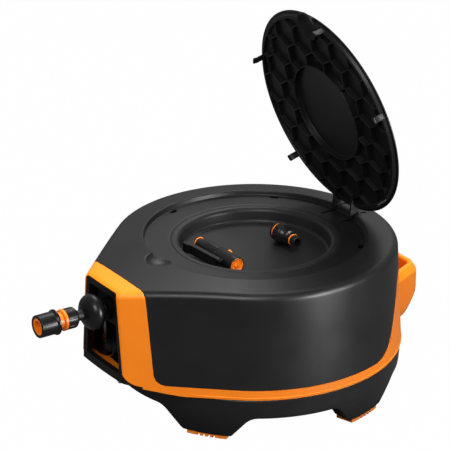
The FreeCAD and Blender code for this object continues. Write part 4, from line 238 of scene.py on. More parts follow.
def makeFinish(name, row, setup):  # tone goes from dark to light with the cloud, the bump follows the grain
    dark, light, rough, scale, height, specular, *metal = row
    material = bpy.data.materials.new(name)
    tree = freshTree(material)
    grain = addNode(tree, "ShaderNodeGroup", {"Grain Scale": scale, "Rough Low": rough[0],
                                              "Rough High": rough[1]}, node_tree=grainGroup)
    ramp = addNode(tree, "ShaderNodeValToRGB", {"Fac": (grain, "Cloud")})
    for element, spot, tone in zip(ramp.color_ramp.elements, setup["toneSpan"], (dark, light)):
        element.position = spot
        element.color = (*tone, 1)
    bump = addNode(tree, "ShaderNodeBump", {"Strength": setup["bump"], "Distance": height,
                                            "Height": (grain, "Height")})
    shader = addNode(tree, "ShaderNodeBsdfPrincipled", {
        "Base Color": (ramp, "Color"), "Roughness": (grain, "Roughness"), "Normal": (bump, "Normal"),
        "Metallic": metal[0] if metal else 0.0, "Specular IOR Level": specular})
    addNode(tree, "ShaderNodeOutputMaterial", {"Surface": (shader, 0)})
    return material


materials = {name: makeFinish(name, row, grainSetup) for name, row in finishes.items()}
nodeFinish = {
    "shellBlack": ["top_shell", "base_ring"],
    "bezelBlack": ["front_bezel", "lower_pan"],
    "carriagePaintedShadeBlack": ["carriage"],
    "lidBlackPaintedShade": ["lid_panel"],
    "trayBlackPaintedLight": ["storage_tray"],
    "fittingBlack": ["ball_stop", "connector_nut", "release_sleeve", "nozzle_body", "nozzle_lever",
                     "tap_body", "inlet_nipple", "lower_roller", "upper_roller"],
    "bandOrange": ["side_band", "carry_handle"],
    "ringOrange": ["connector_ring", "connector_body", "nozzle_face", "nozzle_knob", "tap_ring"],
    "padOrange": ["foot_pads", "nozzle_seal", "tap_seal"],
    "hoseBlack": ["hose_core", "hose_winding", "hose_lead", "hose_tail"],
    "sealBlack": ["swivel_seals"],
    "nylonWhite": ["slide_ring", "lower_bush", "upper_bush"],
    "drumGrey": ["drum_hub", "drum_flange", "spring_cover", "retainer_plate", "idler_gear", "screw_gear",
                 "drum_gear", "ratchet_ring", "pawl"],
    "darkSteel": ["hinge_pin"],
    "pinSteel": ["housing_screws", "retainer_screws", "flange_screws", "guide_rods", "idler_pin", "pawl_pin",
                 "roller_pins", "lead_screw", "power_spring"],
    "castBrass": ["axle", "inlet_pipe", "swivel_collar"],
}
for finish, names in nodeFinish.items():
    for name in names:
        mesh = nodes[name].data
        mesh.materials.clear()
        mesh.materials.append(materials[finish])
bare = sorted(set(nodes) - {name for names in nodeFinish.values() for name in names})
print("finishes set, nodes without one:", bare)

# helpers for the new pieces; sizes are millimetres until a piece is added
mm = 0.001


def rounded(corners, steps=6, closed=False):  # path through (a, b, radius) corners, each turned into an arc
    spots = np.array([corner[:2] for corner in corners], float)
    runs = []
    for index, corner in enumerate(corners):
        radius = corner[2] if len(corner) > 2 else 0.0
        inside = closed or 0 < index < len(corners) - 1
        if radius <= 0 or not inside:
            runs.append(spots[index:index + 1])
            continue
        back = spots[index - 1] - spots[index]
        on = spots[(index + 1) % len(spots)] - spots[index]
        back, on = back / np.linalg.norm(back), on / np.linalg.norm(on)
        half = np.arccos(np.clip(back @ on, -1, 1)) / 2
        between = (back + on) / np.linalg.norm(back + on)
        centre = spots[index] + between * radius / np.sin(half)
        start = spots[index] + back * radius / np.tan(half) - centre
        end = spots[index] + on * radius / np.tan(half) - centre
        first = np.arctan2(start[1], start[0])
        swing = (np.arctan2(end[1], end[0]) - first + np.pi) % (2 * np.pi) - np.pi
        turn = first + swing * np.linspace(0, 1, steps + 1)
        runs.append(centre + radius * np.stack([np.cos(turn), np.sin(turn)], -1))
    return np.concatenate(runs)


def arcPath(centre, radius, first, last, steps=10):  # points on a circle between two angles in degrees
    turn = np.radians(np.linspace(first, last, steps + 1))
    return np.array(centre) + radius * np.stack([np.cos(turn), np.sin(turn)], -1)


def gridFaces(columns, rows, wrapColumns, wrapRows):  # quads between the points of a columns x rows grid
    i = np.arange(columns if wrapColumns else columns - 1)[:, None]
    j = np.arange(rows if wrapRows else rows - 1)[None, :]
    nextI, nextJ = (i + 1) % columns, (j + 1) % rows
    corners = (i * rows + j, nextI * rows + j, nextI * rows + nextJ, i * rows + nextJ)
    return np.stack([np.broadcast_to(corner, (i.size, j.size)) for corner in corners], -1).reshape(-1, 4)


def gridForm(points, wrapColumns=False, wrapRows=False, capped=False):  # a form is points and blocks of faces
    columns, rows = points.shape[:2]
    blocks = [gridFaces(columns, rows, wrapColumns, wrapRows)]
    if capped:
        first = np.arange(rows)[None, :]
        blocks += [first, first[:, ::-1] + (columns - 1) * rows]
    return points.reshape(-1, 3), blocks


def lathe(profile, columns=160, closed=False):  # profile of (radius, height) points turned about +Z
    turn = np.linspace(0, 2 * np.pi, columns, endpoint=False)[:, None]
    radius, height = profile[None, :, 0], profile[None, :, 1]
    points = np.stack([radius * np.cos(turn), radius * np.sin(turn), height + 0 * turn], -1)
    return gridForm(points, True, closed)


def sweep(section, path, side):  # closed (a, b) section along a path: a along side, b square to both
    ahead = np.gradient(path, axis=0)
    ahead /= np.linalg.norm(ahead, axis=1, keepdims=True)
    across = side - np.sum(side * ahead, 1, keepdims=True) * ahead
    across /= np.linalg.norm(across, axis=1, keepdims=True)
    square = np.cross(across, ahead)
    section = np.broadcast_to(section, (len(path), *section.shape[-2:]))
    points = path[:, None] + section[..., :1] * across[:, None] + section[..., 1:] * square[:, None]
    return gridForm(points, False, True, True)


def stacked(rings, spots, axis):  # flat rings of points, each at its spot along an axis, as a capped tube
    along = np.broadcast_to(np.array(spots, float)[:, None, None], (*rings.shape[:2], 1))
    parts = [rings[..., :1], rings[..., 1:]]
    parts.insert("xyz".index(axis), along)
    return gridForm(np.concatenate(parts, -1), False, True, True)


def placed(form, turn=None, move=(0, 0, 0)):  # form turned by a matrix, then moved
    points, blocks = form
    if turn is not None:
        points = points @ np.asarray(turn).T
    return points + np.asarray(move), blocks


def joinForms(forms):  # several forms as one
    starts = np.cumsum([0] + [len(points) for points, blocks in forms])
    blocks = [block + start for (points, group), start in zip(forms, starts) for block in group]
    return np.concatenate([points for points, group in forms]), blocks


def turnAbout(axis, degrees):  # matrix that turns by an angle about an axis
    c, s = math.cos(math.radians(degrees)), math.sin(math.radians(degrees))
    return {"x": np.array([[1, 0, 0], [0, c, -s], [0, s, c]]),
            "y": np.array([[c, 0, s], [0, 1, 0], [-s, 0, c]]),
            "z": np.array([[c, -s, 0], [s, c, 0], [0, 0, 1]])}[axis]


def cleanMesh(name, form):  # mesh in metres, with drawn-in points joined and faces outwards
    points, blocks = form
    mesh = bpy.data.meshes.new(name)
    faces = [face for block in blocks for face in block.tolist()]
    mesh.from_pydata((points * mm).tolist(), [], faces)
    work = bmesh.new()
    work.from_mesh(mesh)
    bmesh.ops.remove_doubles(work, verts=work.verts, dist=2e-6)
    bmesh.ops.dissolve_degenerate(work, edges=work.edges, dist=1e-6)
    bmesh.ops.recalc_face_normals(work, faces=work.faces)
    work.to_mesh(mesh)
    work.free()
    return mesh


def addPiece(name, form, body, replaced, finish, slot, sharp=32):  # body it rides; a tuple of values for a blend is not used, the piece then stays fixed where it is
    mesh = cleanMesh(name, form) if isinstance(form, tuple) else form
    mesh.shade_smooth()
    mesh.set_sharp_from_angle(angle=math.radians(sharp))
    mesh.materials.clear()
    mesh.materials.append(materials[finish])
    piece = bpy.data.objects.new(name, mesh)
    scene.collection.objects.link(piece)
    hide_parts(*replaced)
    if isinstance(body, tuple):
        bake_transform(piece)
    else:
        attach(piece, body)
    print("piece", name, len(mesh.polygons), "faces")


def addTurned(rows, turn, place):  # forms made upright, laid along a turn and moved to a place
    for name, form, *stands in rows:
        addPiece(name, placed(form, turn, place), *stands)


# hose: outer layer on the drum, inner layers, and the end that runs out through the mouth
hoseForm = {"radius": 7.1, "coil": 152.9, "pitch": 14.9, "turns": 3.5, "exit": 166.0, "corner": 190.0,
            "bend": 58.0, "end": 287.0, "split": (240.5, 242.5), "steady": (230.0, 250.0),
            "coreInner": 75.1, "coreOuter": 145.0, "coreLow": 106.3, "coreHigh": 179.7, "layers": 5,
            "sides": 24, "coilSteps": 560, "bendSteps": 24, "coreColumns": 144}


def makeHose(form):  # a helix of constant radius; a tangent, a bend and a straight run; bulges round a ring
    look = ("hoseBlack", "hose_rubber")
    upright = np.array([0.0, 0.0, 1.0])
    circle = arcPath((0, 0), form["radius"], 0, 360, form["sides"])[:-1]
    leave = -math.pi / 2 + math.acos(form["coil"] / form["corner"])  # where the tangent to the corner starts
    left = 1 - np.linspace(0, 1, form["coilSteps"])
    turn = leave + left * form["turns"] * 2 * np.pi
    height = form["exit"] - left * form["turns"] * form["pitch"]
    coil = np.stack([form["coil"] * np.cos(turn), form["coil"] * np.sin(turn), height], -1)
    addPiece("hoseCoil", sweep(circle, coil, upright), "drum", ["hose_winding"], *look)
    start = form["coil"] * np.array([math.cos(leave), math.sin(leave)])
    bend = rounded([(*start, 0), (0, -form["corner"], form["bend"]), (0, -form["end"])], form["bendSteps"])
    early, late = form["split"]
    before, after = form["steady"]
    ends = np.array([(0, -y) for y in (before, early, (early + late) / 2, late, after, form["end"])])
    plan = np.concatenate([bend[:-1], ends])
    path = np.column_stack([plan, np.full(len(plan), form["exit"])])
    level = form["exit"] * mm
    change = ("carriage", "hose_end", (0, -early * mm, level), (0, -late * mm, level))
    addPiece("hoseEnd", sweep(circle, path, upright), change, ["hose_lead", "hose_tail"], *look)
    count = form["layers"]
    acrossStep = (form["coreOuter"] - form["coreInner"]) / count
    upStep = (form["coreHigh"] - form["coreLow"]) / count
    radii = form["coreInner"] + acrossStep * (np.arange(count) + 0.5)
    levels = form["coreLow"] + upStep * (np.arange(count) + 0.5)
    bulge = min(acrossStep, upStep) / 2
    runs = [arcPath((radius, levels[0]), bulge, 180, 360) for radius in radii[:-1]]
    runs.append(arcPath((radii[-1], levels[0]), bulge, 180, 450, 14))
    runs += [arcPath((radii[-1], level), bulge, -90, 90) for level in levels[1:-1]]
    runs.append(arcPath((radii[-1], levels[-1]), bulge, -90, 180, 14))
    runs += [arcPath((radius, levels[-1]), bulge, 0, 180) for radius in radii[-2::-1]]
    layers = lathe(np.concatenate(runs), form["coreColumns"], True)
    addPiece("hoseLayers", layers, "drum", ["hose_core"], *look, 60)


makeHose(hoseForm)

# lid, made closed and swung open about its hinge; the corners of profiles are (radius, height, round)
lidForm = {
    "radius": 150.0, "edge": 217.4, "crown": 223.4, "rim": 219.3, "skin": 1.8, "tip": 212.7,
    "bead": (139.4, 145.6), "lean": 2.2, "flange": 217.3, "ring": (69.0, 70.6), "disc": 220.8, "columns": 560,
    "pitch": 41.0, "rib": 1.7, "ribDraft": 0.25, "ribRoot": 0.6, "cup": (134.0, 20.5, 2.0), "dome": 7.4,
    "tabs": (-17, -75, -163, 135, 45), "tabDrop": 14.0, "tabWidth": 9.0, "tabThick": 2.6,
    "tabStations": (0.62, 0.72, 0.9, 1.0),  # shares of the drop
    "tabOut": (0, 0, 0, 0.9, 0.9, 0.1), "tabScale": (1, 1, 1, 1, 1, 0.7),
    "earSpan": 20.0, "earWidth": 3.2, "earEdge": 0.5, "earRoot": (126.0, 145.5),
    "earFoot": [(0.0, -14.0, 6.0), (12.1, -7.0, 5.0), (3.4, 1.0, 2.0), (0.5, 3.6, 2.5)],  # from the pin
    "hinge": (156.06, 215.2), "swing": -75.42,
}


def lidTop(form, radius):  # the crown falls with the square of the radius
    return form["crown"] - (form["crown"] - form["rim"]) * (radius / form["radius"]) ** 2


def lidUnder(form, radius):  # one skin below the top, and never below the edge
    return np.maximum(form["edge"], lidTop(form, radius) - form["skin"])


def lidSkin(form):  # profile over the crown, round rim and bead, and back to the middle ring and its disc
    outer, flange, tip, disc = form["radius"], form["flange"], form["tip"], form["disc"]
    beadIn, beadOut = form["bead"]
    ringIn, ringOut = form["ring"]
    underOut, underIn = beadIn - 3, ringOut + 2
    spread = np.linspace(0, outer - 1.2, 40)
    top = np.column_stack([spread, lidTop(form, spread)])
    rim = rounded([
        top[-1], (outer, top[-1, 1], 1.0), (outer, flange, 0.7), (beadOut, flange, 0.6),
        (beadOut - form["lean"], tip, 1.3), (beadIn, tip, 1.2), (beadIn, lidUnder(form, beadIn), 0.8),
        (underOut, lidUnder(form, underOut)),
    ], 4)
    under = np.linspace(underOut, underIn, 60)
    middle = rounded([
        (underIn, lidUnder(form, underIn)), (ringOut, lidUnder(form, ringOut), 0.5), (ringOut, tip, 0.6),
        (ringIn, tip, 0.6), (ringIn, disc, 1.2), (0, disc),
    ], 4)
    profile = np.concatenate([top, rim, np.column_stack([under, lidUnder(form, under)]), middle])
    points, blocks = lathe(profile, form["columns"])
    cupY, cupRadius, cupWall = form["cup"]
    away = np.hypot(points[:, 0], points[:, 1] + cupY)
    near = away < cupRadius - cupWall / 2
    below = points[:, 2] < lidTop(form, np.hypot(points[:, 0], points[:, 1])) - 0.5
    domed = np.maximum(cupDome(form, away), tip)
    lifted = np.maximum(points[:, 2], domed + cupWall / 2)
    points[:, 2] = np.where(near, np.where(below, domed, lifted), points[:, 2])  # room for the finger cup
    return points, blocks


def cupDome(form, away):  # height of the cup's inner ball cap at a distance from its middle
    reach, depth = form["cup"][1] - form["cup"][2], form["dome"]
    ball = (reach * reach + depth * depth) / (2 * depth)
    return form["tip"] + depth - ball + np.sqrt(np.maximum(ball * ball - away * away, 0))


def lidCup(form):  # ball cap inside, a lip, and the same cap one wall higher outside
    cupY, outer, wall = form["cup"]
    inner, tip = outer - wall, form["tip"]
    spread = np.linspace(0, inner, 20)
    hollow = np.column_stack([spread, cupDome(form, spread)])
    lip = np.array([(inner + 0.5, tip - 0.3), (outer - 0.5, tip - 0.3), (outer, tip + 0.3)])
    dome = np.column_stack([spread[::-1] * (outer / inner), cupDome(form, spread[::-1]) + wall])
    return placed(lathe(np.concatenate([hollow, lip, dome]), 96), move=(0, -cupY, 0))


def ribEnds(form):  # both ends of each honeycomb edge that shows between the middle ring and the bead
    step = form["pitch"] * math.sqrt(3) / 2
    row, column = np.meshgrid(np.arange(-5, 6), np.arange(-6, 7), indexing="ij")
    centres = np.stack([(column + 0.5 * (row % 2)) * form["pitch"], row * step], -1).reshape(-1, 1, 2)
    turn = np.radians([-30, 30, 90, 150])
    corners = centres + form["pitch"] / math.sqrt(3) * np.stack([np.cos(turn), np.sin(turn)], -1)
    pairs = np.concatenate([corners[:, :2], corners[:, 1:3], corners[:, 2:4]]).reshape(-1, 2, 2)
    low, high = form["ring"][1] - 0.4, form["bead"][0] + 0.4
    share = np.linspace(0, 1, 201)
    along = pairs[:, :1] + share[None, :, None] * (pairs[:, 1:] - pairs[:, :1])
    reach = np.hypot(along[..., 0], along[..., 1])
    cupAway = np.hypot(along[..., 0], along[..., 1] + form["cup"][0])
    shown = (reach > low) & (reach < high) & (cupAway > form["cup"][1] - 0.6)
    first = np.argmax(shown, 1)
    last = len(share) - 1 - np.argmax(shown[:, ::-1], 1)
    kept = np.where(shown.any(1) & (last - first > 6))[0]  # stubs of six steps or less are left out
    return along[kept, first[kept]], along[kept, last[kept]]


def lidRibs(form):  # each honeycomb edge as a bar with a rounded tip, its root inside the skin
    starts, ends = ribEnds(form)
    ahead = (ends - starts) / np.linalg.norm(ends - starts, axis=1, keepdims=True)
    overlap = ahead * form["rib"] * 0.3  # so that bars meet at the corners
    across = np.stack([-ahead[:, 1], ahead[:, 0]], -1)
    half, wide = form["rib"] / 2, form["rib"] / 2 + form["ribDraft"]
    tip, root = form["tip"], form["edge"]
    section = rounded([(wide, root), (half, tip, 0.45), (-half, tip, 0.45), (-wide, root)], 4)
    bars = np.stack([starts - overlap, ends + overlap], 1)
    spots = bars[:, :, None] + section[None, None, :, :1] * across[:, None, None]
    under = lidUnder(form, np.hypot(spots[..., :1], spots[..., 1:])) + form["ribRoot"]
    level = np.where(section[:, 1:] == root, under, section[:, 1:])
    points = np.concatenate([spots, level], -1)
    count = len(section)
    caps = np.arange(count)[None, :]
    shift = (np.arange(len(points)) * 2 * count)[:, None, None]
    kinds = [gridFaces(2, count, False, True), caps, caps[:, ::-1] + count]
    return points.reshape(-1, 3), [(kind + shift).reshape(-1, kind.shape[1]) for kind in kinds]


def lidTab(form, turn):  # tongue below the bead with a bulged end, at a plan angle
    half, thick = form["tabWidth"] / 2, form["tabThick"] / 2
    middle = form["bead"][1] - thick
    lower = form["tip"] - form["tabDrop"] * np.array(form["tabStations"])
    levels = (form["edge"], form["tip"] - 1, *lower)
    outward = np.array(form["tabOut"])
    corners = [(a * thick, b * half, 0.7) for a, b in ((-1, -1), (1, -1), (1, 1), (-1, 1))]
    grow = np.array(form["tabScale"])[:, None, None]
    flat = rounded(corners, 3, True)[None] * grow + np.stack([outward, 0 * outward], -1)[:, None]
    return placed(placed(stacked(flat, levels, "z"), move=(middle, 0, 0)), turnAbout("z", turn))


def lidEar(form, side):  # web that runs down to a round foot below the pin
    y, z = form["hinge"]
    near, far = form["earRoot"]
    foot = [(y + offY, z + offZ, bend) for offY, offZ, bend in form["earFoot"]]
    root = [(near, form["edge"] + 2.2), (near, form["tip"] + 0.5, 1.0)]
    outline = rounded([*root, *foot, (far, form["edge"] + 1.2)], 6)
    half, edge = form["earWidth"] / 2, form["earEdge"]
    middle = outline.mean(0)
    drawn = middle + (outline - middle) * (1 - edge / 14)  # both faces drawn in, over a mean reach of 14
    spots = (-half, edge - half, half - edge, half)
    web = stacked(np.stack([drawn, outline, outline, drawn]), spots, "x")
    return placed(web, move=(side * form["earSpan"], 0, 0))


def makeLid(form):  # all its forms joined, moved to the hinge, turned and moved back
    forms = [lidSkin(form), lidCup(form), lidRibs(form)]
    forms += [lidTab(form, turn) for turn in form["tabs"]]
    forms += [lidEar(form, side) for side in (-1, 1)]
    y, z = form["hinge"]
    swung = placed(placed(joinForms(forms), move=(0, -y, -z)), turnAbout("x", form["swing"]), (0, y, z))
    addPiece("lidShell", swung, "lid", ["lid_panel"], "lidBlackPaintedShade", "black_plastic", 40)


makeLid(lidForm)

# housing: columns follow the plan outline round, rows run from the lid recess over the shoulder to the foot
bodyForm = {
    "low": 65.5, "high": 210.0, "radius": (201.0, 193.0), "noseHalf": (57.0, 43.5), "front": 244.0,
    "corner": 8.0, "top": 217.0, "recess": 151.0, "fall": 0.135, "under": 212.0, "rise": 0.32,
    "draft": 0.055, "shoulder": 10.5, "shelf": 209.6, "shelfInner": 114.0, "scoop": (150.5, 23.0, 10.5),
    "wall": 2.6, "gap": 0.3, "lip": (3.0, 9.0, 0.4),
    "seam": [(-216.4, 221.0), (-212.0, 79.0, 13.0), (96.0, 79.0, 45.0), (139.0, 172.0, 13.0), (260.0, 172.0)],
    "columns": (24, 8, 10, 40, 110),  # front, its corner, side up to the seam, side, round
}


def seamSide(form, y, z):  # distance to the seam line in side view, plus on the black side
    line = rounded(form["seam"], 12)
    start, run = line[:-1], np.diff(line, axis=0)
    offY, offZ = y[..., None] - start[:, 0], z[..., None] - start[:, 1]
    share = np.clip((offY * run[:, 0] + offZ * run[:, 1]) / np.sum(run * run, 1), 0, 1)
    away = np.hypot(offY - share * run[:, 0], offZ - share * run[:, 1])
    side = run[:, 0] * offZ - run[:, 1] * offY
    near = np.argmin(away, -1)[..., None]
    return np.take_along_axis(away * np.sign(side), near, -1)[..., 0]


def bodyOutline(form, part, share, z):  # plan points at heights z, each column at its share of its part
    rise = (z - form["low"]) / (form["high"] - form["low"])
    radius = form["radius"][0] + (form["radius"][1] - form["radius"][0]) * rise
    half = form["noseHalf"][0] + (form["noseHalf"][1] - form["noseHalf"][0]) * rise
    corner = form["corner"]
    middleX, middleY = half - corner, corner - form["front"] + 0 * half
    leave = np.arctan2(middleY, middleX) + np.arccos((radius - corner) / np.hypot(middleX, middleY))
    outX, outY = np.cos(leave), np.sin(leave)
    startX, startY = middleX + corner * outX, middleY + corner * outY
    runX, runY = radius * outX - startX, radius * outY - startY
    (topY, topZ), (lowY, lowZ) = form["seam"][0][:2], form["seam"][1][:2]
    seamY = lowY + (topY - lowY) * (z - lowZ) / (topZ - lowZ)
    aside = form["gap"] * 1.03  # seam columns stand just clear of the gap
    before = (seamY - aside - startY) / runY * share
    after = (seamY + aside - startY) / runY
    after = after + (1 - after) * share
    bend = -np.pi / 2 + (leave + np.pi / 2) * share
    spin = leave + (np.pi / 2 - leave) * share
    parts = [part == index for index in range(4)]
    x = np.select(parts, [middleX * share, middleX + corner * np.cos(bend), startX + runX * before,
                          startX + runX * after], radius * np.cos(spin))
    y = np.select(parts, [middleY - corner + 0 * share, middleY + corner * np.sin(bend),
                          startY + runY * before, startY + runY * after], radius * np.sin(spin))
    return x, y


def bodyTop(form, radius):  # falls outwards from the recess with a constant slope
    return form["top"] - form["fall"] * (radius - form["recess"])


def bodyGrid(form):  # right half of the housing's outside as columns x rows of points
    counts = form["columns"]
    part = np.repeat(np.arange(5), counts)[:, None]
    steps = [np.linspace(0, 1, count, endpoint=index in (2, 4)) for index, count in enumerate(counts)]
    steps[3] = steps[3] ** 1.6  # closer together next to the seam
    share = np.concatenate(steps)[:, None]
    edge = np.full(part.shape, form["high"])
    for step in range(8):  # height at which the wall would meet the top
        x, y = bodyOutline(form, part, share, edge)
        edge = bodyTop(form, np.hypot(x, y))
    apex = np.concatenate([x, y, edge], 1)
    reach, spin = np.hypot(x, y), np.arctan2(y, x)
    along = np.gradient(apex[:, :2], axis=0)
    along /= np.linalg.norm(along, axis=1, keepdims=True)
    square = np.cos(spin) * along[:, 1:] - np.sin(spin) * along[:, :1]  # 1 where the wall faces outwards
    slant = np.clip(np.abs(square), 0.55, 1)
    flat = math.atan(form["fall"])
    opening = math.pi / 2 + flat + form["draft"]
    length = form["shoulder"] / math.tan(opening / 2)
    shelf, recess, inner = form["shelf"], form["recess"], form["shelfInner"]
    ledge = np.linspace(inner + 12, recess - 4, 16)
    slope = np.linspace(recess + 4, recess + 29, 18)
    fixed = np.concatenate([
        rounded([(inner, shelf - 2.0), (inner, shelf, 0.6), (inner + 6, shelf)], 3),
        np.column_stack([ledge, np.full(len(ledge), shelf)]),
        rounded([(recess - 3.4, shelf), (recess - 1.3, shelf, 1.8), (recess, form["top"], 1.8),
                 (recess + 2.6, bodyTop(form, recess + 2.6))], 5),
        np.column_stack([slope, bodyTop(form, slope)]),
    ])
    arcStart = reach - length * math.cos(flat) / slant
    spread = slope[-1] + (arcStart - slope[-1]) * np.linspace(0, 1, 7)[None, 1:]
    same = np.broadcast_to(fixed, (len(part), *fixed.shape))
    radius = np.concatenate([same[..., 0], spread], 1)
    height = np.concatenate([same[..., 1], bodyTop(form, spread)], 1)
    upper = np.stack([radius * np.cos(spin), radius * np.sin(spin), height], -1)
    scoopY, width, depth = form["scoop"]
    ball = (width * width + depth * depth) / (2 * depth)
    away = np.hypot(upper[..., 0], upper[..., 1] + scoopY)
    hollow = form["top"] - depth + ball - np.sqrt(np.maximum(ball * ball - away * away, 0))
    upper[..., 2] = np.where(away < width, np.minimum(upper[..., 2], hollow), upper[..., 2])
    start = edge - length
    drop = np.linspace(0, 1, 26)[None]
    footX, footY = bodyOutline(form, part, share, np.full(part.shape, form["low"]))
    footReach = np.hypot(footX, footY)
    foot = form["low"] + form["rise"] * np.maximum(footReach - form["under"], 0)
    wallZ = start + (foot - start) * drop
    wallX, wallY = bodyOutline(form, part, share, wallZ)
    wall = np.stack([wallX, wallY, wallZ], -1)
    lipReach, noseReach, lipRise = form["lip"]  # the nose has a floor, the rest a narrow lip
    inward = np.minimum(footReach - lipReach, form["under"] - noseReach) - footReach
    under = footReach + inward * np.linspace(0, 1, 8)[None, 1:]
    underZ = form["low"] + lipRise + form["rise"] * np.maximum(under - form["under"], 0)
    floor = np.stack([under * footX / footReach, under * footY / footReach, underZ], -1)
    blend = np.linspace(0, 1, 12)[1:-1][None, :, None]  # arc through first and last, drawn towards the apex
    pull = 2 * blend * (1 - blend) * math.sin(opening / 2)
    first, last = (1 - blend) ** 2, blend ** 2
    arc = (first * upper[:, -1:] + pull * apex[:, None] + last * wall[:, :1]) / (first + pull + last)
    return np.concatenate([upper, arc, wall, floor], 1)


def bodySide(form, grid, black):  # both halves on one side of the seam, rows past it drawn back to it
    side = seamSide(form, grid[..., 1], grid[..., 2])
    level = form["gap"] if black else -form["gap"]
    past = np.argmax(side < level, 1)
    column = np.arange(len(grid))
    before, after = side[column, past - 1], side[column, past]
    share = ((before - level) / (before - after))[:, None]
    crossing = grid[column, past - 1] * (1 - share) + grid[column, past] * share
    row = np.arange(grid.shape[1])[None]
    drawn = row >= past[:, None] if black else row < past[:, None]
    points = np.where(drawn[..., None], crossing[:, None], grid).reshape(-1, 3)
    both = drawn[:, :-1] & drawn[:, 1:]
    atSeam = (column[:-1] == sum(form["columns"][:3]) - 1)[:, None]
    gone = (both[:-1] & both[1:]) | (atSeam & (both[:-1] | both[1:]))
    faces = gridFaces(*grid.shape[:2], False, False)[~gone.reshape(-1)]
    return joinForms([(points, [faces]), (points * np.array([-1.0, 1.0, 1.0]), [faces[:, ::-1]])])


def prism(outline, axis, first, last):  # outline in the plane square to an axis, drawn along it
    return stacked(np.stack([outline, outline]), (first, last), axis)


def boxForm(x, y, z):  # box between two spots on each axis
    return prism(np.array([(y[0], z[0]), (y[1], z[0]), (y[1], z[1]), (y[0], z[1])], float), "x", *x)


def hollowMesh(name, form, wall, cutters):  # outside given a wall inwards, then cut
    shell = bpy.data.objects.new(name, cleanMesh(name, form))
    scene.collection.objects.link(shell)
    if wall:
        thick = shell.modifiers.new("wall", "SOLIDIFY")
        thick.thickness = wall * mm
        thick.offset = -1.0
        thick.use_even_offset = True
    tools = [bpy.data.objects.new(name + "Cut", cleanMesh(name + "Cut", cutter)) for cutter in cutters]
    for tool in tools:
        scene.collection.objects.link(tool)
        cut = shell.modifiers.new("opening", "BOOLEAN")
        cut.operation = "DIFFERENCE"
        cut.solver = "MANIFOLD"
        cut.object = tool
    graph = bpy.context.evaluated_depsgraph_get()
    mesh = bpy.data.meshes.new_from_object(shell.evaluated_get(graph))
    for used in [shell, *tools]:
        bpy.data.objects.remove(used)
    return mesh


def joinMeshes(name, meshes):  # several meshes as one
    work = bmesh.new()
    for mesh in meshes:
        work.from_mesh(mesh)
    joined = bpy.data.meshes.new(name)
    work.to_mesh(joined)
    work.free()
    return joined


topForm = {"earGap": 0.8, "earSlot": (125.3, 15.6), "earDepth": 28.0, "tabSlot": (141.4, 148.0),
           "tabHalf": 6.1, "clear": 20.0, "boss": 3.6, "bossWidth": 4.5, "bossDrop": 4.0}


def makeTop(form, top, lid, grid):  # black side of the grid, cut for ears and tabs, with two knuckles
    y, z = lid["hinge"]
    half = lid["earWidth"] / 2 + top["earGap"]
    first, past = top["earSlot"]
    boss, foot = top["boss"], z - top["bossDrop"]
    deep, high = z - top["earDepth"], z + top["clear"]
    profile = np.concatenate([arcPath((y, z), boss, 0, 180, 18), [(y - boss, foot), (y + boss, foot)]])
    cutters, knuckles = [], []
    for side in (-1, 1):
        middle = side * lid["earSpan"]
        cutters.append(boxForm((middle - half, middle + half), (first, y + past), (deep, high)))
        ends = (middle + side * half, middle + side * (half + top["bossWidth"]))
        knuckles.append(prism(profile, "x", *sorted(ends)))
    slot = boxForm(top["tabSlot"], (-top["tabHalf"], top["tabHalf"]), (z - top["clear"], high))
    cutters += [placed(slot, turnAbout("z", turn)) for turn in lid["tabs"]]
    shell = hollowMesh("topShell", bodySide(form, grid, True), form["wall"], cutters)
    mesh = joinMeshes("topShell", [shell, cleanMesh("knuckles", joinForms(knuckles))])
    addPiece("topShell", mesh, "housing", ["top_shell"], "shellBlack", "black_plastic", 35)


bandForm = {
    "portal": [(-37.5, 202.0, 5.0), (37.5, 202.0, 5.0), (52.0, 70.0, 2.0), (-52.0, 70.0, 2.0)],
    "portalSpan": (-270.0, -222.0), "footRound": (-224.0, 95.7, 20.0), "nookHalf": 100.0, "clear": 60.0,
    "pocketHalf": 60.0, "pocketBack": 181.0, "pocket": (84.0, 150.0), "lining": 8.0,
    "inlet": (140.0, 78.0, 8.3), "inletSpan": (170.0, 230.0),
}


def makeBand(form, band, grid):  # orange side of the grid, cut for portal, foot, pocket and inlet
    roundY, roundZ, roundRadius = band["footRound"]
    farY, farZ = roundY - band["clear"], roundZ - band["clear"]
    nook = np.concatenate([arcPath((roundY, roundZ), roundRadius, 270, 180, 16),
                           [(farY, roundZ), (farY, farZ), (roundY, farZ)]])
    half, back, (low, high) = band["pocketHalf"], band["pocketBack"], band["pocket"]
    turn, inletZ, inletRadius = band["inlet"]
    hole = prism(arcPath((0, inletZ), inletRadius, 0, 360, 32)[:-1], "x", *band["inletSpan"])
    pocket = boxForm((-half, half), (back, back + band["clear"]), (low, high))
    cutters = [prism(rounded(band["portal"], 6, True), "y", *band["portalSpan"]),
               prism(nook, "x", -band["nookHalf"], band["nookHalf"]), pocket,
               placed(hole, turnAbout("z", turn))]
    wall = form["wall"]
    shell = hollowMesh("sideBand", bodySide(form, grid, False), wall, cutters)
    liner = boxForm((-half - wall, half + wall), (back - wall, back + band["lining"]),
                    (low - wall, high + wall))
    lining = hollowMesh("pocketLining", liner, 0, [pocket])
    mesh = joinMeshes("sideBand", [shell, lining])
    addPiece("sideBand", mesh, "housing", ["side_band"], "bandOrange", "orange_plastic", 35)


outside = bodyGrid(bodyForm)
makeTop(bodyForm, topForm, lidForm, outside)
makeBand(bodyForm, bandForm, outside)

# storage tray: a shallow bowl whose rim rolls over into the shelf
trayForm = {"floor": 189.5, "floorRadius": 101.0, "rimRadius": 103.0, "rim": 209.8, "roll": 6.6,
            "lip": 113.6, "wall": 2.4, "middle": 60.0}


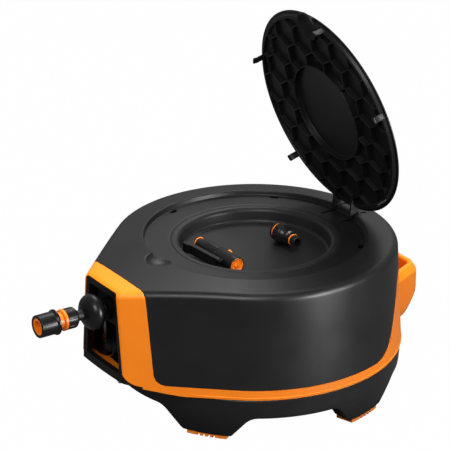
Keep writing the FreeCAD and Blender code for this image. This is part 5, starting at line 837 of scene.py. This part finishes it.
def makeTray(form):  # profile over the floor, up the wall to the lip, and back one wall lower
    floor, rim, lip, wall = form["floor"], form["rim"], form["lip"], form["wall"]
    floorRadius, rimRadius = form["floorRadius"], form["rimRadius"]
    profile = rounded([
        (0, floor), (form["middle"], floor), (floorRadius, floor, 5.0), (rimRadius, rim, form["roll"]),
        (lip, rim - 0.2, 0.4), (lip, rim - wall), (rimRadius + wall, rim - wall, 4.0),
        (floorRadius + wall, floor - wall, 4.0), (0, floor - wall),
    ], 10)
    addPiece("trayBowl", lathe(profile, 240), "housing", ["storage_tray"], "trayBlackPaintedLight", "black_plastic")


makeTray(trayForm)

# spray nozzle lying in the tray: barrel, front and ring turned about its own length
nozzleForm = {"place": (0.0, -61.0, 201.0), "back": -47.0, "front": 48.0, "collar": 7.6, "grip": 11.0,
              "barrel": 11.5, "step": 5.0, "dish": 3.0, "ringSpot": -43.6, "ringRound": 0.9}


def makeNozzle(form):  # profiles of (radius, spot along, round): barrel with a step, dished face, ring
    back, front, step, floor = form["back"], form["front"], form["step"], form["front"] - form["dish"]
    collar, grip, barrel = form["collar"], form["grip"], form["barrel"]
    body = rounded([
        (0, back), (collar - 2, back, 0.6), (collar, back + 1.2, 0.8), (collar, back + 7, 1.0),
        (grip - 2.2, back + 12, 4.0), (grip, back + 25, 8.0), (grip, step, 0.5),
        (grip - 0.9, step + 0.3, 0.3), (grip - 0.9, step + 1.3, 0.3), (grip + 0.2, step + 1.6, 0.5),
        (barrel, front - 12, 6.0), (barrel, front, 1.0), (barrel - 1.3, front, 0.5), (barrel - 1.5, floor),
        (0, floor),
    ], 5)
    face = rounded([
        (0, floor - 0.2), (barrel - 1.6, floor - 0.2), (barrel - 1.6, front - 0.4, 0.5),
        (barrel - 2.6, front - 0.4, 0.4), (barrel - 3.2, front - 1.4, 0.5), (3.6, front - 2.8, 0.6),
        (3.2, front - 0.8, 0.7), (0, front - 0.5),
    ], 5)
    ring = arcPath((collar - 0.1, form["ringSpot"]), form["ringRound"], 0, 360, 16)[:-1]
    addTurned((
        ("nozzleBarrel", lathe(body, 96), "nozzle", ["nozzle_body"], "fittingBlack", "black_plastic"),
        ("nozzleFront", lathe(face, 96), "nozzle", ["nozzle_face"], "ringOrange", "orange_plastic"),
        ("nozzleRing", lathe(ring, 72, True), "nozzle", ["nozzle_seal"], "padOrange", "orange_rubber"),
    ), turnAbout("y", 90), form["place"])


makeNozzle(nozzleForm)

# hose connector and tap connector: turned forms, with grooves along their grips
connectorForm = {
    "place": (0.0, -278.5, 166.0), "bore": 7.2, "nut": (4.8, 22.0), "nutRadius": 14.2, "lip": 11.0,
    "ring": 26.0, "ringRadius": 14.5, "core": 11.6, "sleeve": (34.2, 62.0), "sleeveRadius": 15.3,
    "sleeveBore": 11.9, "flare": 17.2,
    "grooves": {"count": 8, "depth": 0.8, "half": 0.7, "span": (10.3, 20.4)},
}
tapForm = {
    "place": (-15.0, 47.0, 203.8), "thread": 10.4, "threadDepth": 13.0, "cap": 12.8, "ring": (3.4, 6.8),
    "ringRadius": 12.1, "grip": 14.0, "neck": 9.0, "nipple": 7.6, "bore": 4.8, "seal": 38.0, "sealRound": 1.1,
    "end": 48.0, "grooves": {"count": 12, "depth": 1.0, "half": 1.0, "span": (9.1, 15.9)},
}


def grooved(form, grooves, least):  # points past the least radius drawn in by the depth at each groove
    points, blocks = form
    count, (low, high) = grooves["count"], grooves["span"]
    radius = np.hypot(points[:, 0], points[:, 1])
    turn = (np.arctan2(points[:, 1], points[:, 0]) * count / (2 * np.pi)) % 1 - 0.5
    aside = np.abs(turn) * 2 * np.pi / count * radius
    inSpan = (points[:, 2] > low) & (points[:, 2] < high) & (radius > least)
    flank = 0.5  # width of a groove's sloping side
    cut = grooves["depth"] * np.clip((grooves["half"] - aside) / flank + 0.5, 0, 1)
    scale = np.where(inSpan, 1 - cut / np.maximum(radius, 1), 1)
    return points * np.stack([scale, scale, np.ones_like(scale)], -1), blocks


def grooveRows(radius, grooves):  # rows just before and after both ends of the grooves
    return [(radius, end + off) for end in grooves["span"] for off in (-0.3, 0.3)]


def makeConnector(form):  # profiles of (radius, spot along, round): nut, ring and sleeve
    bore, wide, ring, core = form["bore"], form["nutRadius"], form["ring"], form["core"]
    start, nut = form["nut"]
    first, last = form["sleeve"]
    outer, flare, inner = form["sleeveRadius"], form["flare"], form["sleeveBore"]
    ringRadius = form["ringRadius"]
    nutLine = rounded([
        (bore, start), (form["lip"], start, 1.0), (wide - 0.3, start + 3.0, 2.0),
        *grooveRows(wide, form["grooves"]), (wide, nut, 0.6), (bore, nut),
    ], 5)
    ringLine = rounded([(core, nut), (ringRadius, nut, 0.5), (ringRadius, ring, 1.2), (core, ring + 1.0)], 5)
    sleeveLine = rounded([
        (inner, first), (flare, first, 0.8), (flare, first + 2.4, 1.0), (outer, first + 5.0, 1.5),
        (outer, last, 1.0), (inner, last, 0.5),
    ], 5)
    grip = grooved(lathe(nutLine, 240, True), form["grooves"], wide - 1)
    ringTurned, sleeveTurned = lathe(ringLine, 120, True), lathe(sleeveLine, 120, True)
    addTurned((
        ("clampNut", grip, "hose_end", ["connector_nut"], "fittingBlack", "black_plastic"),
        ("clampRing", ringTurned, "hose_end", ["connector_ring"], "ringOrange", "orange_plastic"),
        ("sleeveShell", sleeveTurned, "sleeve", ["release_sleeve"], "fittingBlack", "black_plastic"),
    ), turnAbout("x", 90), form["place"])


def makeTap(form):  # profiles of (radius, spot along, round): body with thread and nipple, ring and seal
    thread, cap, grip, neck, nipple = (form[key] for key in ("thread", "cap", "grip", "neck", "nipple"))
    ringLow, ringHigh = form["ring"]
    ringRadius, bore, seal, end = form["ringRadius"], form["bore"], form["seal"], form["end"]
    line = rounded([
        (bore, form["threadDepth"]), (thread, form["threadDepth"]), (thread, 0), (cap, 0, 0.8),
        (cap, ringLow, 0.5), (ringRadius - 0.7, ringLow), (ringRadius - 0.7, ringHigh), (grip, ringHigh, 0.8),
        *grooveRows(grip, form["grooves"]), (grip, 18.0, 1.2), (cap, 19.0, 0.6), (cap, 21.0, 0.8),
        (neck, 25.5, 3.0), (neck, 28.0, 0.6), (neck + 1.6, 28.4, 0.5), (neck + 1.6, 30.6, 0.6),
        (nipple, 31.6, 0.6), (nipple, seal - 1.4, 0.2), (nipple - 0.8, seal - 1.2),
        (nipple - 0.8, seal + 1.2), (nipple, seal + 1.4, 0.2), (nipple, end, 1.0), (bore, end, 0.4),
    ], 4)
    band = rounded([(ringRadius - 0.8, ringLow), (ringRadius, ringLow, 0.4), (ringRadius, ringHigh, 0.4),
                    (ringRadius - 0.8, ringHigh)], 4)
    wireLine = arcPath((nipple - 0.6, seal), form["sealRound"], 0, 360, 16)[:-1]
    body = grooved(lathe(line, 240, True), form["grooves"], grip - 1)
    addTurned((
        ("tapShell", body, "tap", ["tap_body"], "fittingBlack", "black_plastic"),
        ("tapBand", lathe(band, 96, True), "tap", ["tap_ring"], "ringOrange", "orange_plastic"),
        ("tapWire", lathe(wireLine, 72, True), "tap", ["tap_seal"], "padOrange", "orange_rubber"),
    ), turnAbout("y", 90), form["place"])


makeConnector(connectorForm)
makeTap(tapForm)

# carry handle: one section led round the loop, its lower edge drawn down towards the roots
handleForm = {"root": (92.15, 165.2), "bar": (66.5, 222.0), "corner": 18.0, "half": 6.5, "high": 145.5,
              "low": 100.0, "drop": 28.0, "run": 34.0, "fade": (22.0, 18.0)}


def makeHandle(form):  # path from root to root, the lower edge goes down with the sine of the way
    rootX, rootY = form["root"]
    barX, barY = form["bar"]
    corner, half, high, low = form["corner"], form["half"], form["high"], form["low"]
    bend = rounded([(rootX, rootY), (barX, barY, corner), (-barX, barY, corner), (-rootX, rootY)], 14)
    gaps = np.concatenate([[0], np.cumsum(np.linalg.norm(np.diff(bend, axis=0), axis=1))])
    run = np.union1d(gaps, np.linspace(0, gaps[-1], 90))
    plan = np.stack([np.interp(run, gaps, bend[:, axis]) for axis in (0, 1)], -1)
    section = rounded([(-half, low + 1, 4.0), (half, low + 6, 7.0), (half, high - 11, 6.0), (0, high, 4.0),
                       (-half, high, 4.0)], 7, True)
    share = np.clip((barY - plan[:, 1]) / form["run"], 0, 1)
    drop = form["drop"] * np.sin(share * np.pi / 2)
    fadeStart, fadeLength = form["fade"]
    lower = np.clip((low + fadeStart - section[:, 1]) / fadeLength, 0, 1)
    height = section[None, :, 1] - drop[:, None] * lower[None]
    sections = np.stack([np.broadcast_to(section[None, :, 0], height.shape), height], -1)
    path = np.column_stack([plan, np.zeros(len(plan))])
    ahead = np.gradient(path, axis=0)
    side = np.stack([ahead[:, 1], -ahead[:, 0], 0 * run], -1)
    grip = sweep(sections, path, side)
    addPiece("handleGrip", grip, "housing", ["carry_handle"], "bandOrange", "orange_plastic")


makeHandle(handleForm)

# base: each plan angle has its own lower edge, low at five feet and arched between them
baseForm = {"top": (200.0, 64.0), "mid": (198.0, 36.5), "foot": (190.0, 5.0), "depth": 28.0, "wall": 4.0,
            "plate": 44.0, "feet": 5, "footHalf": 29.5, "flare": 24.0, "arch": 20.0, "first": 18.0,
            "hub": 33.0, "step": 0.4}


def makeBase(form):  # rings of points from the hub over the rim, down the skirt and back under the plate
    topRadius, topZ = form["top"]
    midRadius, midZ = form["mid"]
    footRadius, footZ = form["foot"]
    plate, wall, hub, pitch = form["plate"], form["wall"], form["hub"], 360 / form["feet"]
    turn = np.radians(np.arange(0, 360, form["step"]))
    fromArch = (np.degrees(turn) - form["first"]) % pitch - pitch / 2  # angle from the nearest arch's middle
    aside = np.abs(footRadius * np.sin(np.radians(fromArch)))
    half = footRadius * math.sin(math.pi / form["feet"]) - form["footHalf"]
    bend = (half - form["flare"], midZ, form["arch"])
    edge = rounded([(0, midZ), bend, (half, footZ, 5.0), (footRadius, footZ)], 16)
    low = np.interp(aside, edge[:, 0], edge[:, 1])[:, None]

    def outerRadius(z):  # straight runs from the foot to the middle and on to the top, their bend softened
        return np.interp(z, [footZ, midZ - 6, midZ + 6, topZ],
                         [footRadius, midRadius - 1.4, midRadius + 0.4, topRadius])

    def innerRadius(z):  # one straight run from the foot to the plate
        return np.interp(z, [footZ, plate], [footRadius - form["depth"], midRadius - wall - form["depth"]])

    first, last = topZ - 0.8, low + 1.2
    height = first + (last - first) * np.linspace(0, 1, 22)[None]
    bottom, inner = outerRadius(low), innerRadius(low)
    rings = [
        (hub, plate + wall), (topRadius - wall, plate + wall), (topRadius - wall, topZ),
        (topRadius - 0.7, topZ), (outerRadius(height), height), (bottom - 0.35, low + 0.35),
        (bottom - 1.2, low), (inner + 1.0, low), (inner, low + 1.0), (innerRadius(plate - 1), plate - 1),
        (innerRadius(plate) - 1, plate), (hub, plate),
    ]
    one, spin = np.ones_like(low), turn[:, None]
    radius, level = (np.concatenate([one * ring[index] for ring in rings], 1) for index in (0, 1))
    points = np.stack([radius * np.cos(spin), radius * np.sin(spin), level], -1)
    skirt = gridForm(points, True, True)
    addPiece("baseSkirt", skirt, "base", ["base_ring"], "shellBlack", "black_plastic", 40)


makeBase(baseForm)
print("forms made")
